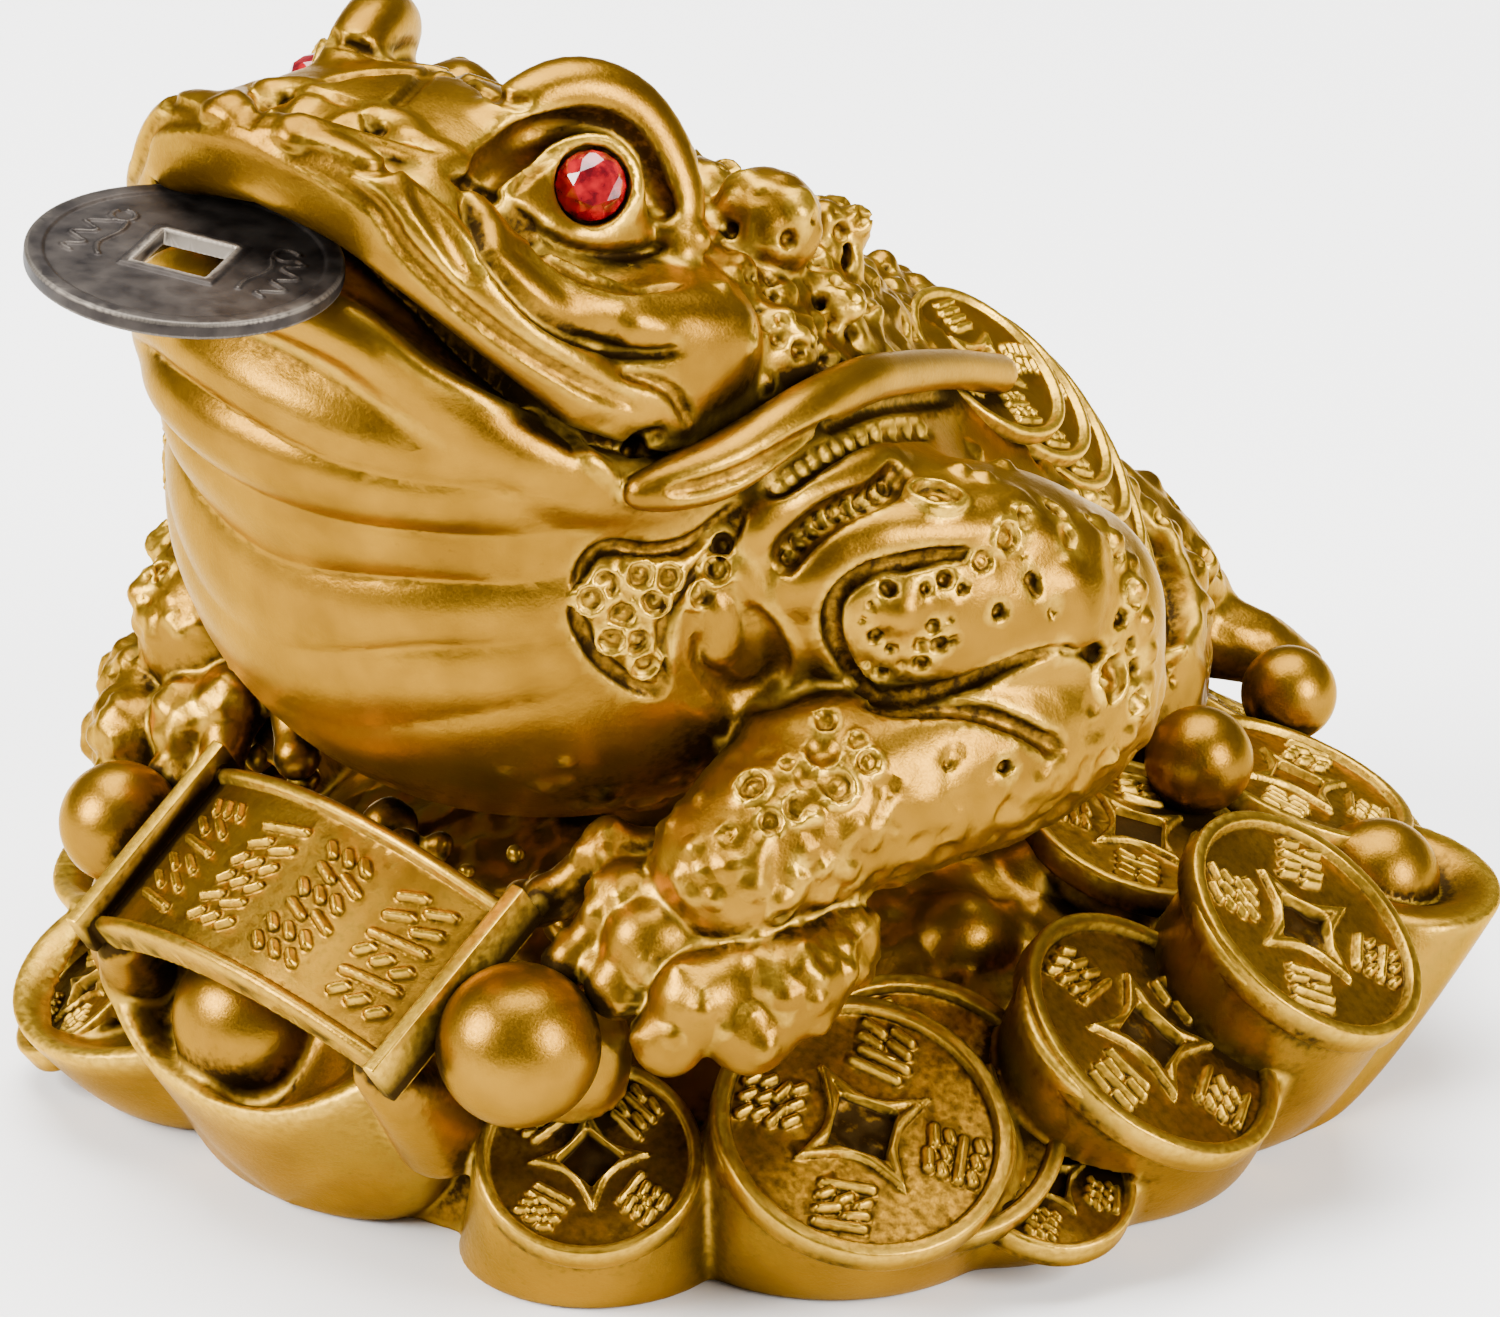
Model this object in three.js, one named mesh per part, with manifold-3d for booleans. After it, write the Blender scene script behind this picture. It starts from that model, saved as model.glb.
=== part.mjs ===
// Money toad: a three-legged toad cast in resin in one piece with its heap of ingots, coins and pearls,
// two faceted eye stones glued into sockets, and a loose bronze coin with a square hole held in its mouth.
// Millimetres, +Z up. The toad looks along -Y and its left side is +X. The underside lies at z = 0.

import * as THREE from "three";
import { ConvexGeometry } from "three/addons/geometries/ConvexGeometry.js";
import { mergeVertices } from "three/addons/utils/BufferGeometryUtils.js";
import Module from "manifold-3d";

const wasm = await Module();
wasm.setup();

// Driving sizes
const figureHeight = 92; // underside to the top of the brows
const coinDiameter = 22.8; // the loose coin
const coinThickness = 1.3;
const coinRim = 1.5;
const coinRelief = 0.2; // how far the rim stands above the field, on each side
const coinHole = 5.6; // side of the square hole
const coinFrame = 0.8; // width of the raised frame round the hole
const stoneDiameter = 5.1; // an eye stone
const stoneHeight = 2.6;
const clearance = 0.3; // between a loose or glued piece and the casting
const coinSides = 28; // flats round the loose coin and its slot

// The casting is free form: its places and radii below are shares of the height, in ninety-seconds,
// so that one share is 1 mm on this figure.
const share = figureHeight / 92;
const degree = Math.PI / 180;

const place = ([x, y, z]) => new THREE.Vector3(x, y, z).multiplyScalar(share);

function solid(geometry) {
  const bare = geometry.index ? geometry.toNonIndexed() : geometry;
  const positions = new THREE.BufferGeometry().setAttribute("position", bare.getAttribute("position"));
  const merged = mergeVertices(positions, 1e-4);
  return new wasm.Manifold(
    new wasm.Mesh({
      numProp: 3,
      vertProperties: merged.attributes.position.array,
      triVerts: new Uint32Array(merged.index.array),
    }),
  );
}

const joined = (solids) => solids.reduce((whole, part) => whole.add(part));

function meshOf(name, body, material) {
  const { numProp, vertProperties, triVerts } = body.getMesh();
  const corners = new Float32Array(triVerts.length * 3);
  triVerts.forEach((vertex, i) => {
    const from = vertex * numProp;
    corners.set(vertProperties.subarray(from, from + 3), i * 3);
  });
  const geometry = new THREE.BufferGeometry();
  geometry.setAttribute("position", new THREE.BufferAttribute(corners, 3));
  geometry.computeVertexNormals();
  const mesh = new THREE.Mesh(geometry, material);
  mesh.name = name;
  return mesh;
}

// A closed skin from a first pole through rings of equally many points to a last pole.
function skin(firstPole, rings, lastPole) {
  const count = rings[0].length;
  const corners = [];
  const put = (...points) => points.forEach((p) => corners.push(p.x, p.y, p.z));
  for (let j = 0; j < count; j++) {
    const k = (j + 1) % count;
    put(firstPole, rings[0][k], rings[0][j]);
    for (let i = 0; i + 1 < rings.length; i++) {
      put(rings[i][j], rings[i][k], rings[i + 1][k]);
      put(rings[i][j], rings[i + 1][k], rings[i + 1][j]);
    }
    put(rings.at(-1)[j], rings.at(-1)[k], lastPole);
  }
  return new THREE.BufferGeometry().setAttribute("position", new THREE.Float32BufferAttribute(corners, 3));
}

// An ellipsoid. A positive pitch lifts its front.
function blob(centre, [rx, ry, rz], { pitch = 0, around = 12, up = 8 } = {}) {
  const geometry = new THREE.SphereGeometry(share, around, up);
  geometry.rotateX(Math.PI / 2).scale(rx, ry, rz).rotateX(-pitch * degree);
  const { x, y, z } = place(centre);
  return solid(geometry.translate(x, y, z));
}

function pearl(centre, radius) {
  const { x, y, z } = place(centre);
  return solid(new THREE.IcosahedronGeometry(radius * share, 1).translate(x, y, z));
}

// A rounded limb through stations of [x, y, z, radius].
function limb(stations, { sides = 6 } = {}) {
  const path = new THREE.CatmullRomCurve3(stations.map(place));
  const steps = stations.length - 1;
  const { normals, binormals, tangents } = path.computeFrenetFrames(steps, false);
  const radiusAt = (t) => {
    const reach = t * (stations.length - 1);
    const i = Math.min(Math.floor(reach), stations.length - 2);
    return THREE.MathUtils.lerp(stations[i][3], stations[i + 1][3], reach - i) * share;
  };
  const ring = (i, along, radius) =>
    Array.from({ length: sides }, (_, j) => {
      const angle = (2 * Math.PI * j) / sides;
      return path
        .getPointAt(i / steps)
        .addScaledVector(tangents[i], along)
        .addScaledVector(normals[i], radius * Math.cos(angle))
        .addScaledVector(binormals[i], radius * Math.sin(angle));
    });
  const [first, last] = [radiusAt(0), radiusAt(1)];
  const slant = 50 * degree;
  const rings = [ring(0, -first * Math.sin(slant), first * Math.cos(slant))];
  for (let i = 0; i <= steps; i++) rings.push(ring(i, 0, radiusAt(path.getUtoTmapping(i / steps))));
  rings.push(ring(steps, last * Math.sin(slant), last * Math.cos(slant)));
  const start = path.getPoint(0).addScaledVector(tangents[0], -first);
  const end = path.getPoint(1).addScaledVector(tangents[steps], last);
  return solid(skin(start, rings, end));
}

// The same solid on the toad's other side. Its faces are listed backwards, so that they still face out.
function otherSide(body) {
  const { vertProperties, triVerts } = body.getMesh();
  const geometry = new THREE.BufferGeometry();
  geometry.setAttribute("position", new THREE.BufferAttribute(vertProperties, 3));
  geometry.setIndex([...triVerts].reverse());
  return solid(geometry.scale(-1, 1, 1));
}

const bothSides = (body) => [body, otherSide(body)];

// Turns a geometry made facing +Z to face along a direction, after a spin about that direction.
function aimed(geometry, centre, facing, spin = 0) {
  const up = new THREE.Vector3(0, 0, 1);
  const turn = new THREE.Quaternion().setFromUnitVectors(up, facing.clone().normalize());
  geometry.rotateZ(spin * degree).applyQuaternion(turn);
  return geometry.translate(centre.x, centre.y, centre.z);
}

// A point on the heap: bearing in degrees from the front (-Y) towards the toad's left (+X).
function onHeap(bearing, reach, height) {
  return [reach * Math.sin(bearing * degree), -reach * Math.cos(bearing * degree), height];
}

function facingOut(bearing, rise) {
  const [x, y, z] = onHeap(bearing, Math.cos(rise * degree), Math.sin(rise * degree));
  return new THREE.Vector3(x, y, z);
}

// A cash coin cast in the heap: raised rim and sunk field.
function cashCoin({ at, facing, radius }) {
  const thick = 2.6;
  const rim = 0.12 * radius;
  const sunk = 0.6;
  const profile = [
    [0, -thick],
    [radius, -thick],
    [radius, 0],
    [radius - rim, 0],
    [radius - rim, -sunk],
    [0, -sunk],
  ].map(([r, h]) => new THREE.Vector2(r * share, h * share));
  return solid(aimed(new THREE.LatheGeometry(profile, 12).rotateX(Math.PI / 2), place(at), facing));
}

// The square pocket in a coin of the heap.
function pocket({ at, facing, radius, spin }) {
  const side = 0.42 * radius * share;
  return solid(aimed(new THREE.BoxGeometry(side, side, 4 * share), place(at), facing, spin));
}

// A boat-shaped ingot: hull drawn in below to its foot, rim raised to two tips along its length, hollow
// within.
function ingot({ bearing, reach, foot, length, width, tip, rim, dome = 0, sides = 8 }) {
  const height = (angle) => rim + (tip - rim) * Math.abs(Math.cos(angle)) ** 2.5;
  // Each ring: share of the half length, share of the half width, and its height at an angle.
  const levels = [
    [0.56, 0.64, () => 0],
    [1, 1, height],
  ];
  if (dome)
    levels.push(
      [0.88, 0.86, (angle) => height(angle) - 0.4],
      [0.66, 0.74, () => 0.84 * rim],
      [0.46, 0.5, () => 0.3 * rim + 0.7 * dome],
    );
  const top = dome || 0.8 * rim;
  const above = onHeap(bearing, reach, 0);
  const below = onHeap(...foot, 0);
  const turn = bearing * degree;
  const point = ([x0, y0], alongLength, acrossWidth, z) =>
    place([
      x0 + alongLength * Math.cos(turn) + acrossWidth * Math.sin(turn),
      y0 + alongLength * Math.sin(turn) - acrossWidth * Math.cos(turn),
      z,
    ]);
  const rings = levels.map(([lengthwise, widthwise, z], level) =>
    Array.from({ length: sides }, (_, j) => {
      const angle = (-2 * Math.PI * j) / sides;
      const alongLength = (length / 2) * lengthwise * Math.cos(angle);
      const acrossWidth = (width / 2) * widthwise * Math.sin(angle);
      return point(level ? above : below, alongLength, acrossWidth, z(angle));
    }),
  );
  return solid(skin(point(below, 0, 0, 0), rings, point(above, 0, 0, top)));
}

// The side of the heap under a disc that leans on it, from a round foot on the ground up to the disc, or
// to a little under its face.
function skirt({ at, facing, radius, under = 0, sides = 12, foot: [bearing, reach, footRadius] }) {
  const footCircle = new THREE.CircleGeometry(footRadius * share, 10);
  footCircle.translate(...place(onHeap(bearing, reach, 0)).toArray());
  const disc = new THREE.CircleGeometry(radius * share, sides).translate(0, 0, -under * share);
  aimed(disc, place(at), facing);
  const corners = [footCircle, disc].flatMap(({ attributes: { position } }) =>
    Array.from({ length: position.count }, (_, i) => new THREE.Vector3().fromBufferAttribute(position, i)),
  );
  return solid(new ConvexGeometry(corners));
}

const heapCoins = [
  { at: onHeap(27, 47, 12), facing: facingOut(40, 57), radius: 8.3, spin: 0, foot: [24, 38.5, 10] },
  { at: onHeap(52, 45.2, 14), facing: facingOut(64, 57), radius: 11.2, spin: 32, foot: [52, 33, 13] },
  { at: onHeap(58, 43.2, 14.6), facing: facingOut(66, 54), radius: 11.2 },
  { at: onHeap(83, 44.8, 16), facing: facingOut(107, 53), radius: 11.2, spin: 22, foot: [90, 33, 12] },
  { at: onHeap(102, 47.5, 20), facing: facingOut(108, 52), radius: 10.5, spin: 49, foot: [110, 34, 11] },
  { at: onHeap(114, 30.7, 21.2), facing: facingOut(110, 72), radius: 9, spin: 40 },
  { at: onHeap(138, 42, 18.6), facing: facingOut(140, 68), radius: 9.5, spin: 30 },
];

// Coins on the sides that are seldom seen, as plain discs.
const plainCoins = [
  { at: onHeap(70, 46, 7.6), facing: facingOut(72, 62), radius: 6.6, foot: [72, 33, 12] },
  { at: onHeap(-38, 51, 8), facing: facingOut(-45, 50), radius: 7, foot: [-38, 40, 6] },
  ...[-70, -100, -130, -160, 165].map((bearing) => ({
    at: onHeap(bearing, 45.5, 14.5),
    facing: facingOut(bearing, 54),
    radius: 10.6,
    foot: [bearing, 33, 12],
  })),
];

// The heap: a low mound ringed by ingots, with coins leaning on it and pearls on top.
function heap() {
  const mound = blob([0, 0, 0], [42, 41, 24], { around: 12, up: 6 });
  const rubble = [
    blob([17.5, -41, 19], [5.8, 5.8, 5.8], { around: 6, up: 4 }),
    blob([-20, -41, 17], [7.5, 7, 8], { around: 6, up: 4 }),
  ];
  const backs = heapCoins.filter(({ foot }) => foot).map((coin) => skirt({ ...coin, under: 1 }));
  const skirts = [...backs, ...plainCoins.map((coin) => skirt({ ...coin, sides: 10 }))];
  const ringed = { length: 31, width: 25, tip: 12.5, rim: 9.5 };
  const bearings = [150, 180, -146, -115, -85, -60];
  const ring = bearings.map((bearing) => ingot({ bearing, reach: 42, foot: [bearing, 37.5], ...ringed }));
  const leftBow = ingot({
    bearing: -33,
    reach: 45,
    foot: [-35, 41.5],
    length: 29,
    width: 25,
    tip: 11,
    rim: 8,
  });
  const rightBow = {
    at: onHeap(128, 49.5, 14.5),
    facing: facingOut(128, 80),
    radius: 8.6,
    foot: [115, 36, 11],
  };
  const dome = pearl(onHeap(128, 48, 13.2), 5);
  const front = ingot({
    bearing: -7,
    reach: 46,
    foot: [-12, 40],
    length: 37,
    width: 18,
    tip: 20,
    rim: 12.5,
    dome: 22.5,
    sides: 14,
  });
  const horns = [
    limb([[10.5, -46, 12, 3.6], [12.4, -51.5, 17.5, 2.8], [12.6, -54.6, 20.6, 2]]),
    limb([[-20, -43, 12, 3.6], [-17.6, -48.5, 17.5, 2.8], [-16, -51.6, 20.6, 2]]),
  ];
  const pearls = [
    [23.5, 54.2, 24, 6],
    [-27.5, 50, 25.6, 4.6],
    [126.3, 33.9, 23.6, 4.1],
    [154.6, 45, 19.4, 3.7],
    [-110, 43, 19, 4.2],
    [-148, 44, 18, 3.8],
  ].map(([bearing, reach, height, radius]) => pearl(onHeap(bearing, reach, height), radius));
  const coins = heapCoins.map(cashCoin);
  const ingots = [...ring, leftBow, front, ...horns, skirt(rightBow), dome];
  return joined([mound, ...rubble, ...skirts, ...ingots, ...coins, ...pearls]);
}

// The banner over the front ingot: an arched plate between two upright bars, sloping down to the front.
function banner() {
  const slope = 34 * degree;
  const yaw = -5.8 * degree;
  const halfWidth = 16.3;
  const halfLength = 7.8;
  const crown = 2.8;
  const deep = 6;
  const border = 1.1;
  const centre = place([0.2, -50, 28]);
  const set = (geometry) =>
    solid(geometry.rotateX(slope).rotateZ(yaw).translate(centre.x, centre.y, centre.z));
  const slab = (lift, from, to) => {
    const arch = new THREE.Shape();
    arch.moveTo(-halfWidth * share, -deep * share).lineTo(halfWidth * share, -deep * share);
    const steps = 6;
    for (let i = 0; i <= steps; i++) {
      const x = halfWidth * (1 - (2 * i) / steps);
      arch.lineTo(x * share, (lift + crown * (1 - (x / halfWidth) ** 2)) * share);
    }
    const plate = new THREE.ExtrudeGeometry(arch, { depth: (to - from) * share, bevelEnabled: false });
    return set(plate.rotateX(Math.PI / 2).translate(0, to * share, 0));
  };
  const bars = [-1, 1].map((side) => {
    const bar = new THREE.BoxGeometry(1.7 * share, 2 * (halfLength + 0.9) * share, deep * share);
    return set(bar.translate(side * (halfWidth + 0.4) * share, 0, (0.7 + crown - deep) * 0.5 * share));
  });
  return joined([
    slab(-0.8, -halfLength, halfLength),
    slab(0, -halfLength, -halfLength + border),
    slab(0, halfLength - border, halfLength),
    ...bars,
  ]);
}

// Torso, rump, throat, jaw and skull.
function trunk() {
  return joined([
    blob([0, -22.5, 53.5], [28, 28, 24.6], { around: 15, up: 9 }),
    blob([0, 0, 40], [25, 36.5, 23], { pitch: 34, around: 11, up: 7 }),
    blob([0, 24, 24], [21, 17, 17], { around: 8, up: 5 }),
    blob([0, -30.5, 66], [23.8, 24, 16], { pitch: 6, around: 12, up: 7 }),
    blob([0, -37.5, 81.5], [14.5, 15, 8], { pitch: 12, around: 9, up: 6 }),
  ]);
}

// The mouth arches over the front of a wall that is half an ellipse in plan. A point at a half angle from
// the middle, in degrees towards one corner, at a height and so far inside the wall.
function onMouth(angle, height, inside, radius) {
  const [halfWidth, depth, middle] = [24, 21, -33.5];
  const x = (halfWidth - inside) * Math.sin(angle * degree);
  const y = middle - (depth - inside) * Math.cos(angle * degree);
  return [x, y, height, radius];
}

// Lips that meet at the corners, the fold under the eye, and the bulge of the cheek.
function face() {
  const upperLip = [
    [0, 90.2, 2.3],
    [20, 88.6, 2.4],
    [34, 84.8, 2.4],
    [50, 79, 2.5],
    [68, 72.8, 2.4],
    [88, 68.2, 2],
  ];
  const lowerLip = [
    [0, 77.4, 2.4],
    [20, 76.2, 2.4],
    [36, 72.6, 2.4],
    [52, 68.2, 2.3],
    [70, 64.2, 2.2],
    [86, 62.8, 1.8],
  ];
  const lip = (stations) =>
    limb(stations.map(([angle, height, radius]) => onMouth(angle, height, radius, radius)));
  const fold = limb([
    [9.5, -45.5, 86, 1.8],
    [15.5, -42.5, 80.8, 2],
    [20.6, -36.5, 76.6, 2.1],
    [23.2, -29.5, 74, 2],
  ]);
  const cheek = blob([19.5, -31, 72], [5.8, 7.4, 5.4], { around: 8, up: 6 });
  return joined([lip(upperLip), lip(lowerLip), fold, cheek].flatMap(bothSides));
}

// The gap between the lips, deepest in the middle.
function mouthGap() {
  const beyond = 1.2;
  const section = (angle, low, high, deep) => [
    onMouth(angle, low, deep),
    onMouth(angle, low, -beyond),
    onMouth(angle, high, -beyond),
    onMouth(angle, high, deep),
  ];
  const half = [
    [82, 66, 66.6, 2.2],
    [64, 68, 69.6, 3.5],
    [48, 72.2, 74.8, 5],
    [32, 76.6, 79.6, 6.5],
    [16, 79.4, 83, 8],
  ];
  const other = half.map(([angle, ...rest]) => [-angle, ...rest]).reverse();
  const rings = [...half, [0, 80.2, 84.4, 9], ...other].map((values) => section(...values).map(place));
  const end = (side) => place(onMouth(side * 88, 65.8, 1));
  return solid(skin(end(1), rings, end(-1)));
}

function eyeSide() {
  const round = stoneDiameter / 2 / share + 2.6;
  const ball = blob([11, -31, 81.4], [round, round + 0.8, round + 0.6], { around: 8, up: 6 });
  const brow = limb([
    [6.4, -37.4, 85, 1.5],
    [8, -34.8, 87.8, 2.1],
    [9.4, -30, 88.8, 2.4],
    [11.6, -26.2, 86.6, 2.5],
    [14.8, -25, 81.6, 2.2],
    [16.8, -26.8, 78, 1.4],
  ]);
  return ball.add(brow);
}

// A front leg folded back to the elbow and forward again to a hand with four toes. The right hand is
// set down further back and closer in than the left.
function arm({ closer = 0, back = 0 } = {}) {
  const upper = limb(
    [[20, -27, 55.5, 6.6], [28, -20, 53.2, 8.4], [31.6, -11.5, 49.8, 9.4], [32, -4, 45.4, 9]],
    { sides: 8 },
  );
  const set = ([x, y, z, radius], way = 1) => [x - closer * way, y + back * way, z, radius];
  const fore = limb(
    [
      [31.5, -4, 40.4, 9.4],
      set([33.4, -12, 39.4, 9], 0.4),
      set([32.8, -20.5, 38.2, 7.9], 0.7),
      set([31, -29, 37, 7.1]),
      set([30, -35.4, 34, 6]),
    ],
    { sides: 8 },
  );
  const toes = [
    [[25, -33, 33.6, 2.4], [16.4, -41, 30.6, 1.4]],
    [[26.5, -35, 33, 2.8], [21.6, -44, 28.4, 1.5]],
    [[28.5, -37.5, 31.5, 3.4], [25.6, -43, 27.4, 2.2]],
    [[33.5, -38.5, 28.8, 3.6], [30.6, -43.4, 24.8, 2.4]],
  ].map((stations) => limb(stations.map((station) => set(station)), { sides: 5 }));
  return joined([upper, fore, ...toes]);
}

// The single hind leg, which ends in three toes spread behind.
function hindLeg() {
  const leg = limb([[0, 30, 30, 8.6], [3, 38, 26, 7.4], [5, 43.5, 20.5, 4.6]], { sides: 8 });
  const toes = [-7, 1, 9].map((x) => limb([[4 + 0.3 * x, 43, 20, 2.8], [4 + x, 50, 16.5, 1.6]]));
  return joined([leg, ...toes]);
}

// The swell of the shoulder and the flank under a cord and its string of coins.
function flank() {
  const shoulder = [[24, -26, 59, 5.6], [25.2, -17, 57.8, 6.2], [23, -8, 54.2, 6.2]];
  const side = [[18, 4, 47, 6.4], [14.4, 14, 42, 6.8], [12.6, 22, 35.6, 6.4]];
  return limb([...shoulder, ...side], { sides: 8 });
}

// A cord runs from each corner of the mouth to a string of coins that overlap down the back.
function coinString() {
  const curl = [[24, -38.6, 64.4, 1.4], [25.6, -36, 64.2, 2], [26.8, -31.6, 65, 2.2]];
  const run = [[27, -24.6, 67.4, 2], [25, -13.4, 66.4, 1.8], [21.2, -3, 62, 1.7], [16.6, 8.6, 56, 1.5]];
  const pieces = [limb([...curl, ...run], { sides: 5 })];
  const count = 4;
  for (let i = 0; i < count; i++) {
    const way = i / (count - 1);
    const at = [15.1 + 0.9 * way, 9.8 + 22 * way - 6 * way * way, 56.4 - 16 * way - 5.5 * way * way];
    const facing = new THREE.Vector3(0.56 + 0.18 * way, 0.29 + 0.29 * way, 0.78 - 0.4 * way);
    const disc = new THREE.CylinderGeometry(7.3 * share, 7.3 * share, 2 * share, 9).rotateX(Math.PI / 2);
    pieces.push(solid(aimed(disc, place(at), facing)));
  }
  return joined(pieces);
}

// Warts on the nape behind the brows.
function warts() {
  const nape = [
    [17, -20.5, 75, 3.8],
    [8.6, -16, 76.4, 3.6],
    [20.6, -22, 69, 3.6],
    [4.2, -8, 72.4, 3.2],
    [12.8, -8.5, 69.6, 3.4],
    [5, 2, 66, 3],
  ];
  const wart = ([x, y, z, r]) => blob([x, y, z], [r, r, r], { around: 6, up: 4 });
  return joined(nape.map(wart).flatMap(bothSides));
}

// An eye stone's back rests at its seat. The loose coin's underside rests at its own, back edge inwards.
const eyeSeat = place([13.05, -32.2, 83.16]);
const eyeFacing = new THREE.Vector3(0.722, -0.602, 0.341).normalize();
const coinSeat = place([-2, -46.8, 80.7]);
const coinFacing = new THREE.Vector3(0.088, 0.024, 1).normalize();
const eyeCentre = eyeSeat.clone().addScaledVector(eyeFacing, stoneHeight / 2);
const coinCentre = coinSeat.clone().add(new THREE.Vector3(0, -coinDiameter / 2, coinThickness / 2));

// The space that lets the loose coin into the mouth.
function mouthSlot() {
  const radius = coinDiameter / 2 + clearance;
  const height = coinThickness + 2 * clearance;
  const slot = new THREE.CylinderGeometry(radius, radius, height, coinSides).rotateX(Math.PI / 2);
  return solid(aimed(slot, coinCentre, coinFacing));
}

// The socket that takes an eye stone, open outwards.
function stoneSocket() {
  const radius = stoneDiameter / 2 + clearance;
  const depth = stoneHeight + 4 * share;
  const socket = new THREE.CylinderGeometry(radius, radius, depth, 12).rotateX(Math.PI / 2);
  return solid(aimed(socket.translate(0, 0, depth / 2 - clearance), eyeSeat, eyeFacing));
}

function casting() {
  const arms = [arm(), otherSide(arm({ closer: 3, back: 5.5 }))];
  const paired = [eyeSide(), flank(), coinString()].flatMap(bothSides);
  const whole = joined([heap(), banner(), trunk(), face(), ...arms, ...paired, hindLeg(), warts()]);
  const below = solid(new THREE.BoxGeometry(300, 300, 60).translate(0, 0, -30));
  const pockets = heapCoins.filter(({ spin }) => spin !== undefined).map(pocket);
  const cuts = [below, mouthGap(), mouthSlot(), ...pockets, ...bothSides(stoneSocket())];
  return cuts.reduce((rest, cut) => rest.subtract(cut), whole);
}

// A round stone with a flat table, a sloping crown and a plain back.
function eyeStone() {
  const radius = stoneDiameter / 2;
  const profile = [
    [0, -0.5],
    [0.9, -0.5],
    [1, -0.1],
    [0.62, 0.5],
    [0, 0.5],
  ].map(([r, h]) => new THREE.Vector2(r * radius, h * stoneHeight));
  const stone = new THREE.LatheGeometry(profile, 12).rotateX(Math.PI / 2);
  return solid(aimed(stone, eyeCentre, eyeFacing));
}

// The loose coin: a raised rim and a raised frame round the square hole on both faces.
function mouthCoin() {
  const radius = coinDiameter / 2;
  const face = coinThickness / 2;
  const profile = [
    [0, -face + coinRelief],
    [radius - coinRim, -face + coinRelief],
    [radius - coinRim, -face],
    [radius, -face],
    [radius, face],
    [radius - coinRim, face],
    [radius - coinRim, face - coinRelief],
    [0, face - coinRelief],
  ].map(([r, h]) => new THREE.Vector2(r, h));
  const disc = new THREE.LatheGeometry(profile, coinSides).rotateX(Math.PI / 2);
  const spin = 20;
  const border = coinHole + 2 * coinFrame;
  const frame = new THREE.BoxGeometry(border, border, coinThickness);
  const hole = new THREE.BoxGeometry(coinHole, coinHole, 3 * coinThickness);
  return solid(aimed(disc, coinCentre, coinFacing))
    .add(solid(aimed(frame, coinCentre, coinFacing, spin)))
    .subtract(solid(aimed(hole, coinCentre, coinFacing, spin)));
}

const gold = new THREE.MeshStandardMaterial({ color: 0xc9962e, roughness: 0.35, metalness: 0.9 });
const bronze = new THREE.MeshStandardMaterial({ color: 0x57504c, roughness: 0.5, metalness: 0.85 });
const ruby = new THREE.MeshStandardMaterial({ color: 0xb1121b, roughness: 0.05, metalness: 0 });

const moneyToad = new THREE.Group();
const stone = eyeStone();
moneyToad.add(
  meshOf("toad_figure", casting(), gold),
  meshOf("eye_stone_left", stone, ruby),
  meshOf("eye_stone_right", otherSide(stone), ruby),
  meshOf("mouth_coin", mouthCoin(), bronze),
);

export default moneyToad;
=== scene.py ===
import math

import bmesh
import bpy
import numpy as np
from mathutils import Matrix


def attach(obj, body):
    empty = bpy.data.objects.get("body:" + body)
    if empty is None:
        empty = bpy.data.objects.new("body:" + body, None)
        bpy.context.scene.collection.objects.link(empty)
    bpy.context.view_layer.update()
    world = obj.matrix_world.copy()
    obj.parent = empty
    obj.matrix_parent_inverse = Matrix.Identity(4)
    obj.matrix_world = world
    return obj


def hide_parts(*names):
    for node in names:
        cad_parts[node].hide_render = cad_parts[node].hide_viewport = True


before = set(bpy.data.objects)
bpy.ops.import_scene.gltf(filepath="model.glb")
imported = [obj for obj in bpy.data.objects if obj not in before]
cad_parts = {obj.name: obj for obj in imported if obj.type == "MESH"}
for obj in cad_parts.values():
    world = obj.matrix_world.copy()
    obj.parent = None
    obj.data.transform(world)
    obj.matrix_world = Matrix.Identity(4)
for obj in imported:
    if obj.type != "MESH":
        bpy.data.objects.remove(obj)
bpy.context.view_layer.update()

import openvdb
from mathutils import Matrix, Vector

# The table, the light and the camera.
# The figure stands on a plain pale board under two wide soft lamps and a softer one overhead,
# and is seen from its left front, a little from above.
PHOTO_SIZE_PX = (1500, 1317)
FOCAL_LENGTH_PX = 13300
SENSOR = 36
AIM = Vector((0, 0, 0.0306))
STAND_OFF = 1.0
bearing, climb = math.radians(41.4), math.radians(25)
outward = Vector((math.sin(bearing) * math.cos(climb), -math.cos(bearing) * math.cos(climb), math.sin(climb)))


def shown(name, data):
    """An object of the scene with a camera, a lamp or a mesh as its data."""
    holder = bpy.data.objects.new(name, data)
    bpy.context.scene.collection.objects.link(holder)
    return holder


def lamp(name, place, size, power, tint):
    light = bpy.data.lights.new(name, "AREA")
    light.shape = "RECTANGLE"
    light.size, light.size_y = size
    light.energy = power
    light.color = tint
    holder = shown(name, light)
    holder.location = place
    holder.rotation_euler = (Vector(place) - AIM).to_track_quat("Z", "Y").to_euler()


def wire(tree, target, inputs):
    """Links each input of a node to a socket, or sets it to a value."""
    for name, value in inputs.items():
        if isinstance(value, bpy.types.NodeSocket):
            tree.links.new(value, target.inputs[name])
        else:
            target.inputs[name].default_value = value
    return target


def node(tree, kind, inputs, **settings):
    made = tree.nodes.new(kind)
    for name, value in settings.items():
        setattr(made, name, value)
    return wire(tree, made, inputs)


def finish(name):
    """A material, with the tree of its nodes and its shader."""
    material = bpy.data.materials.new(name)
    material.use_nodes = True
    return material, material.node_tree, material.node_tree.nodes["Principled BSDF"]


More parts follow.
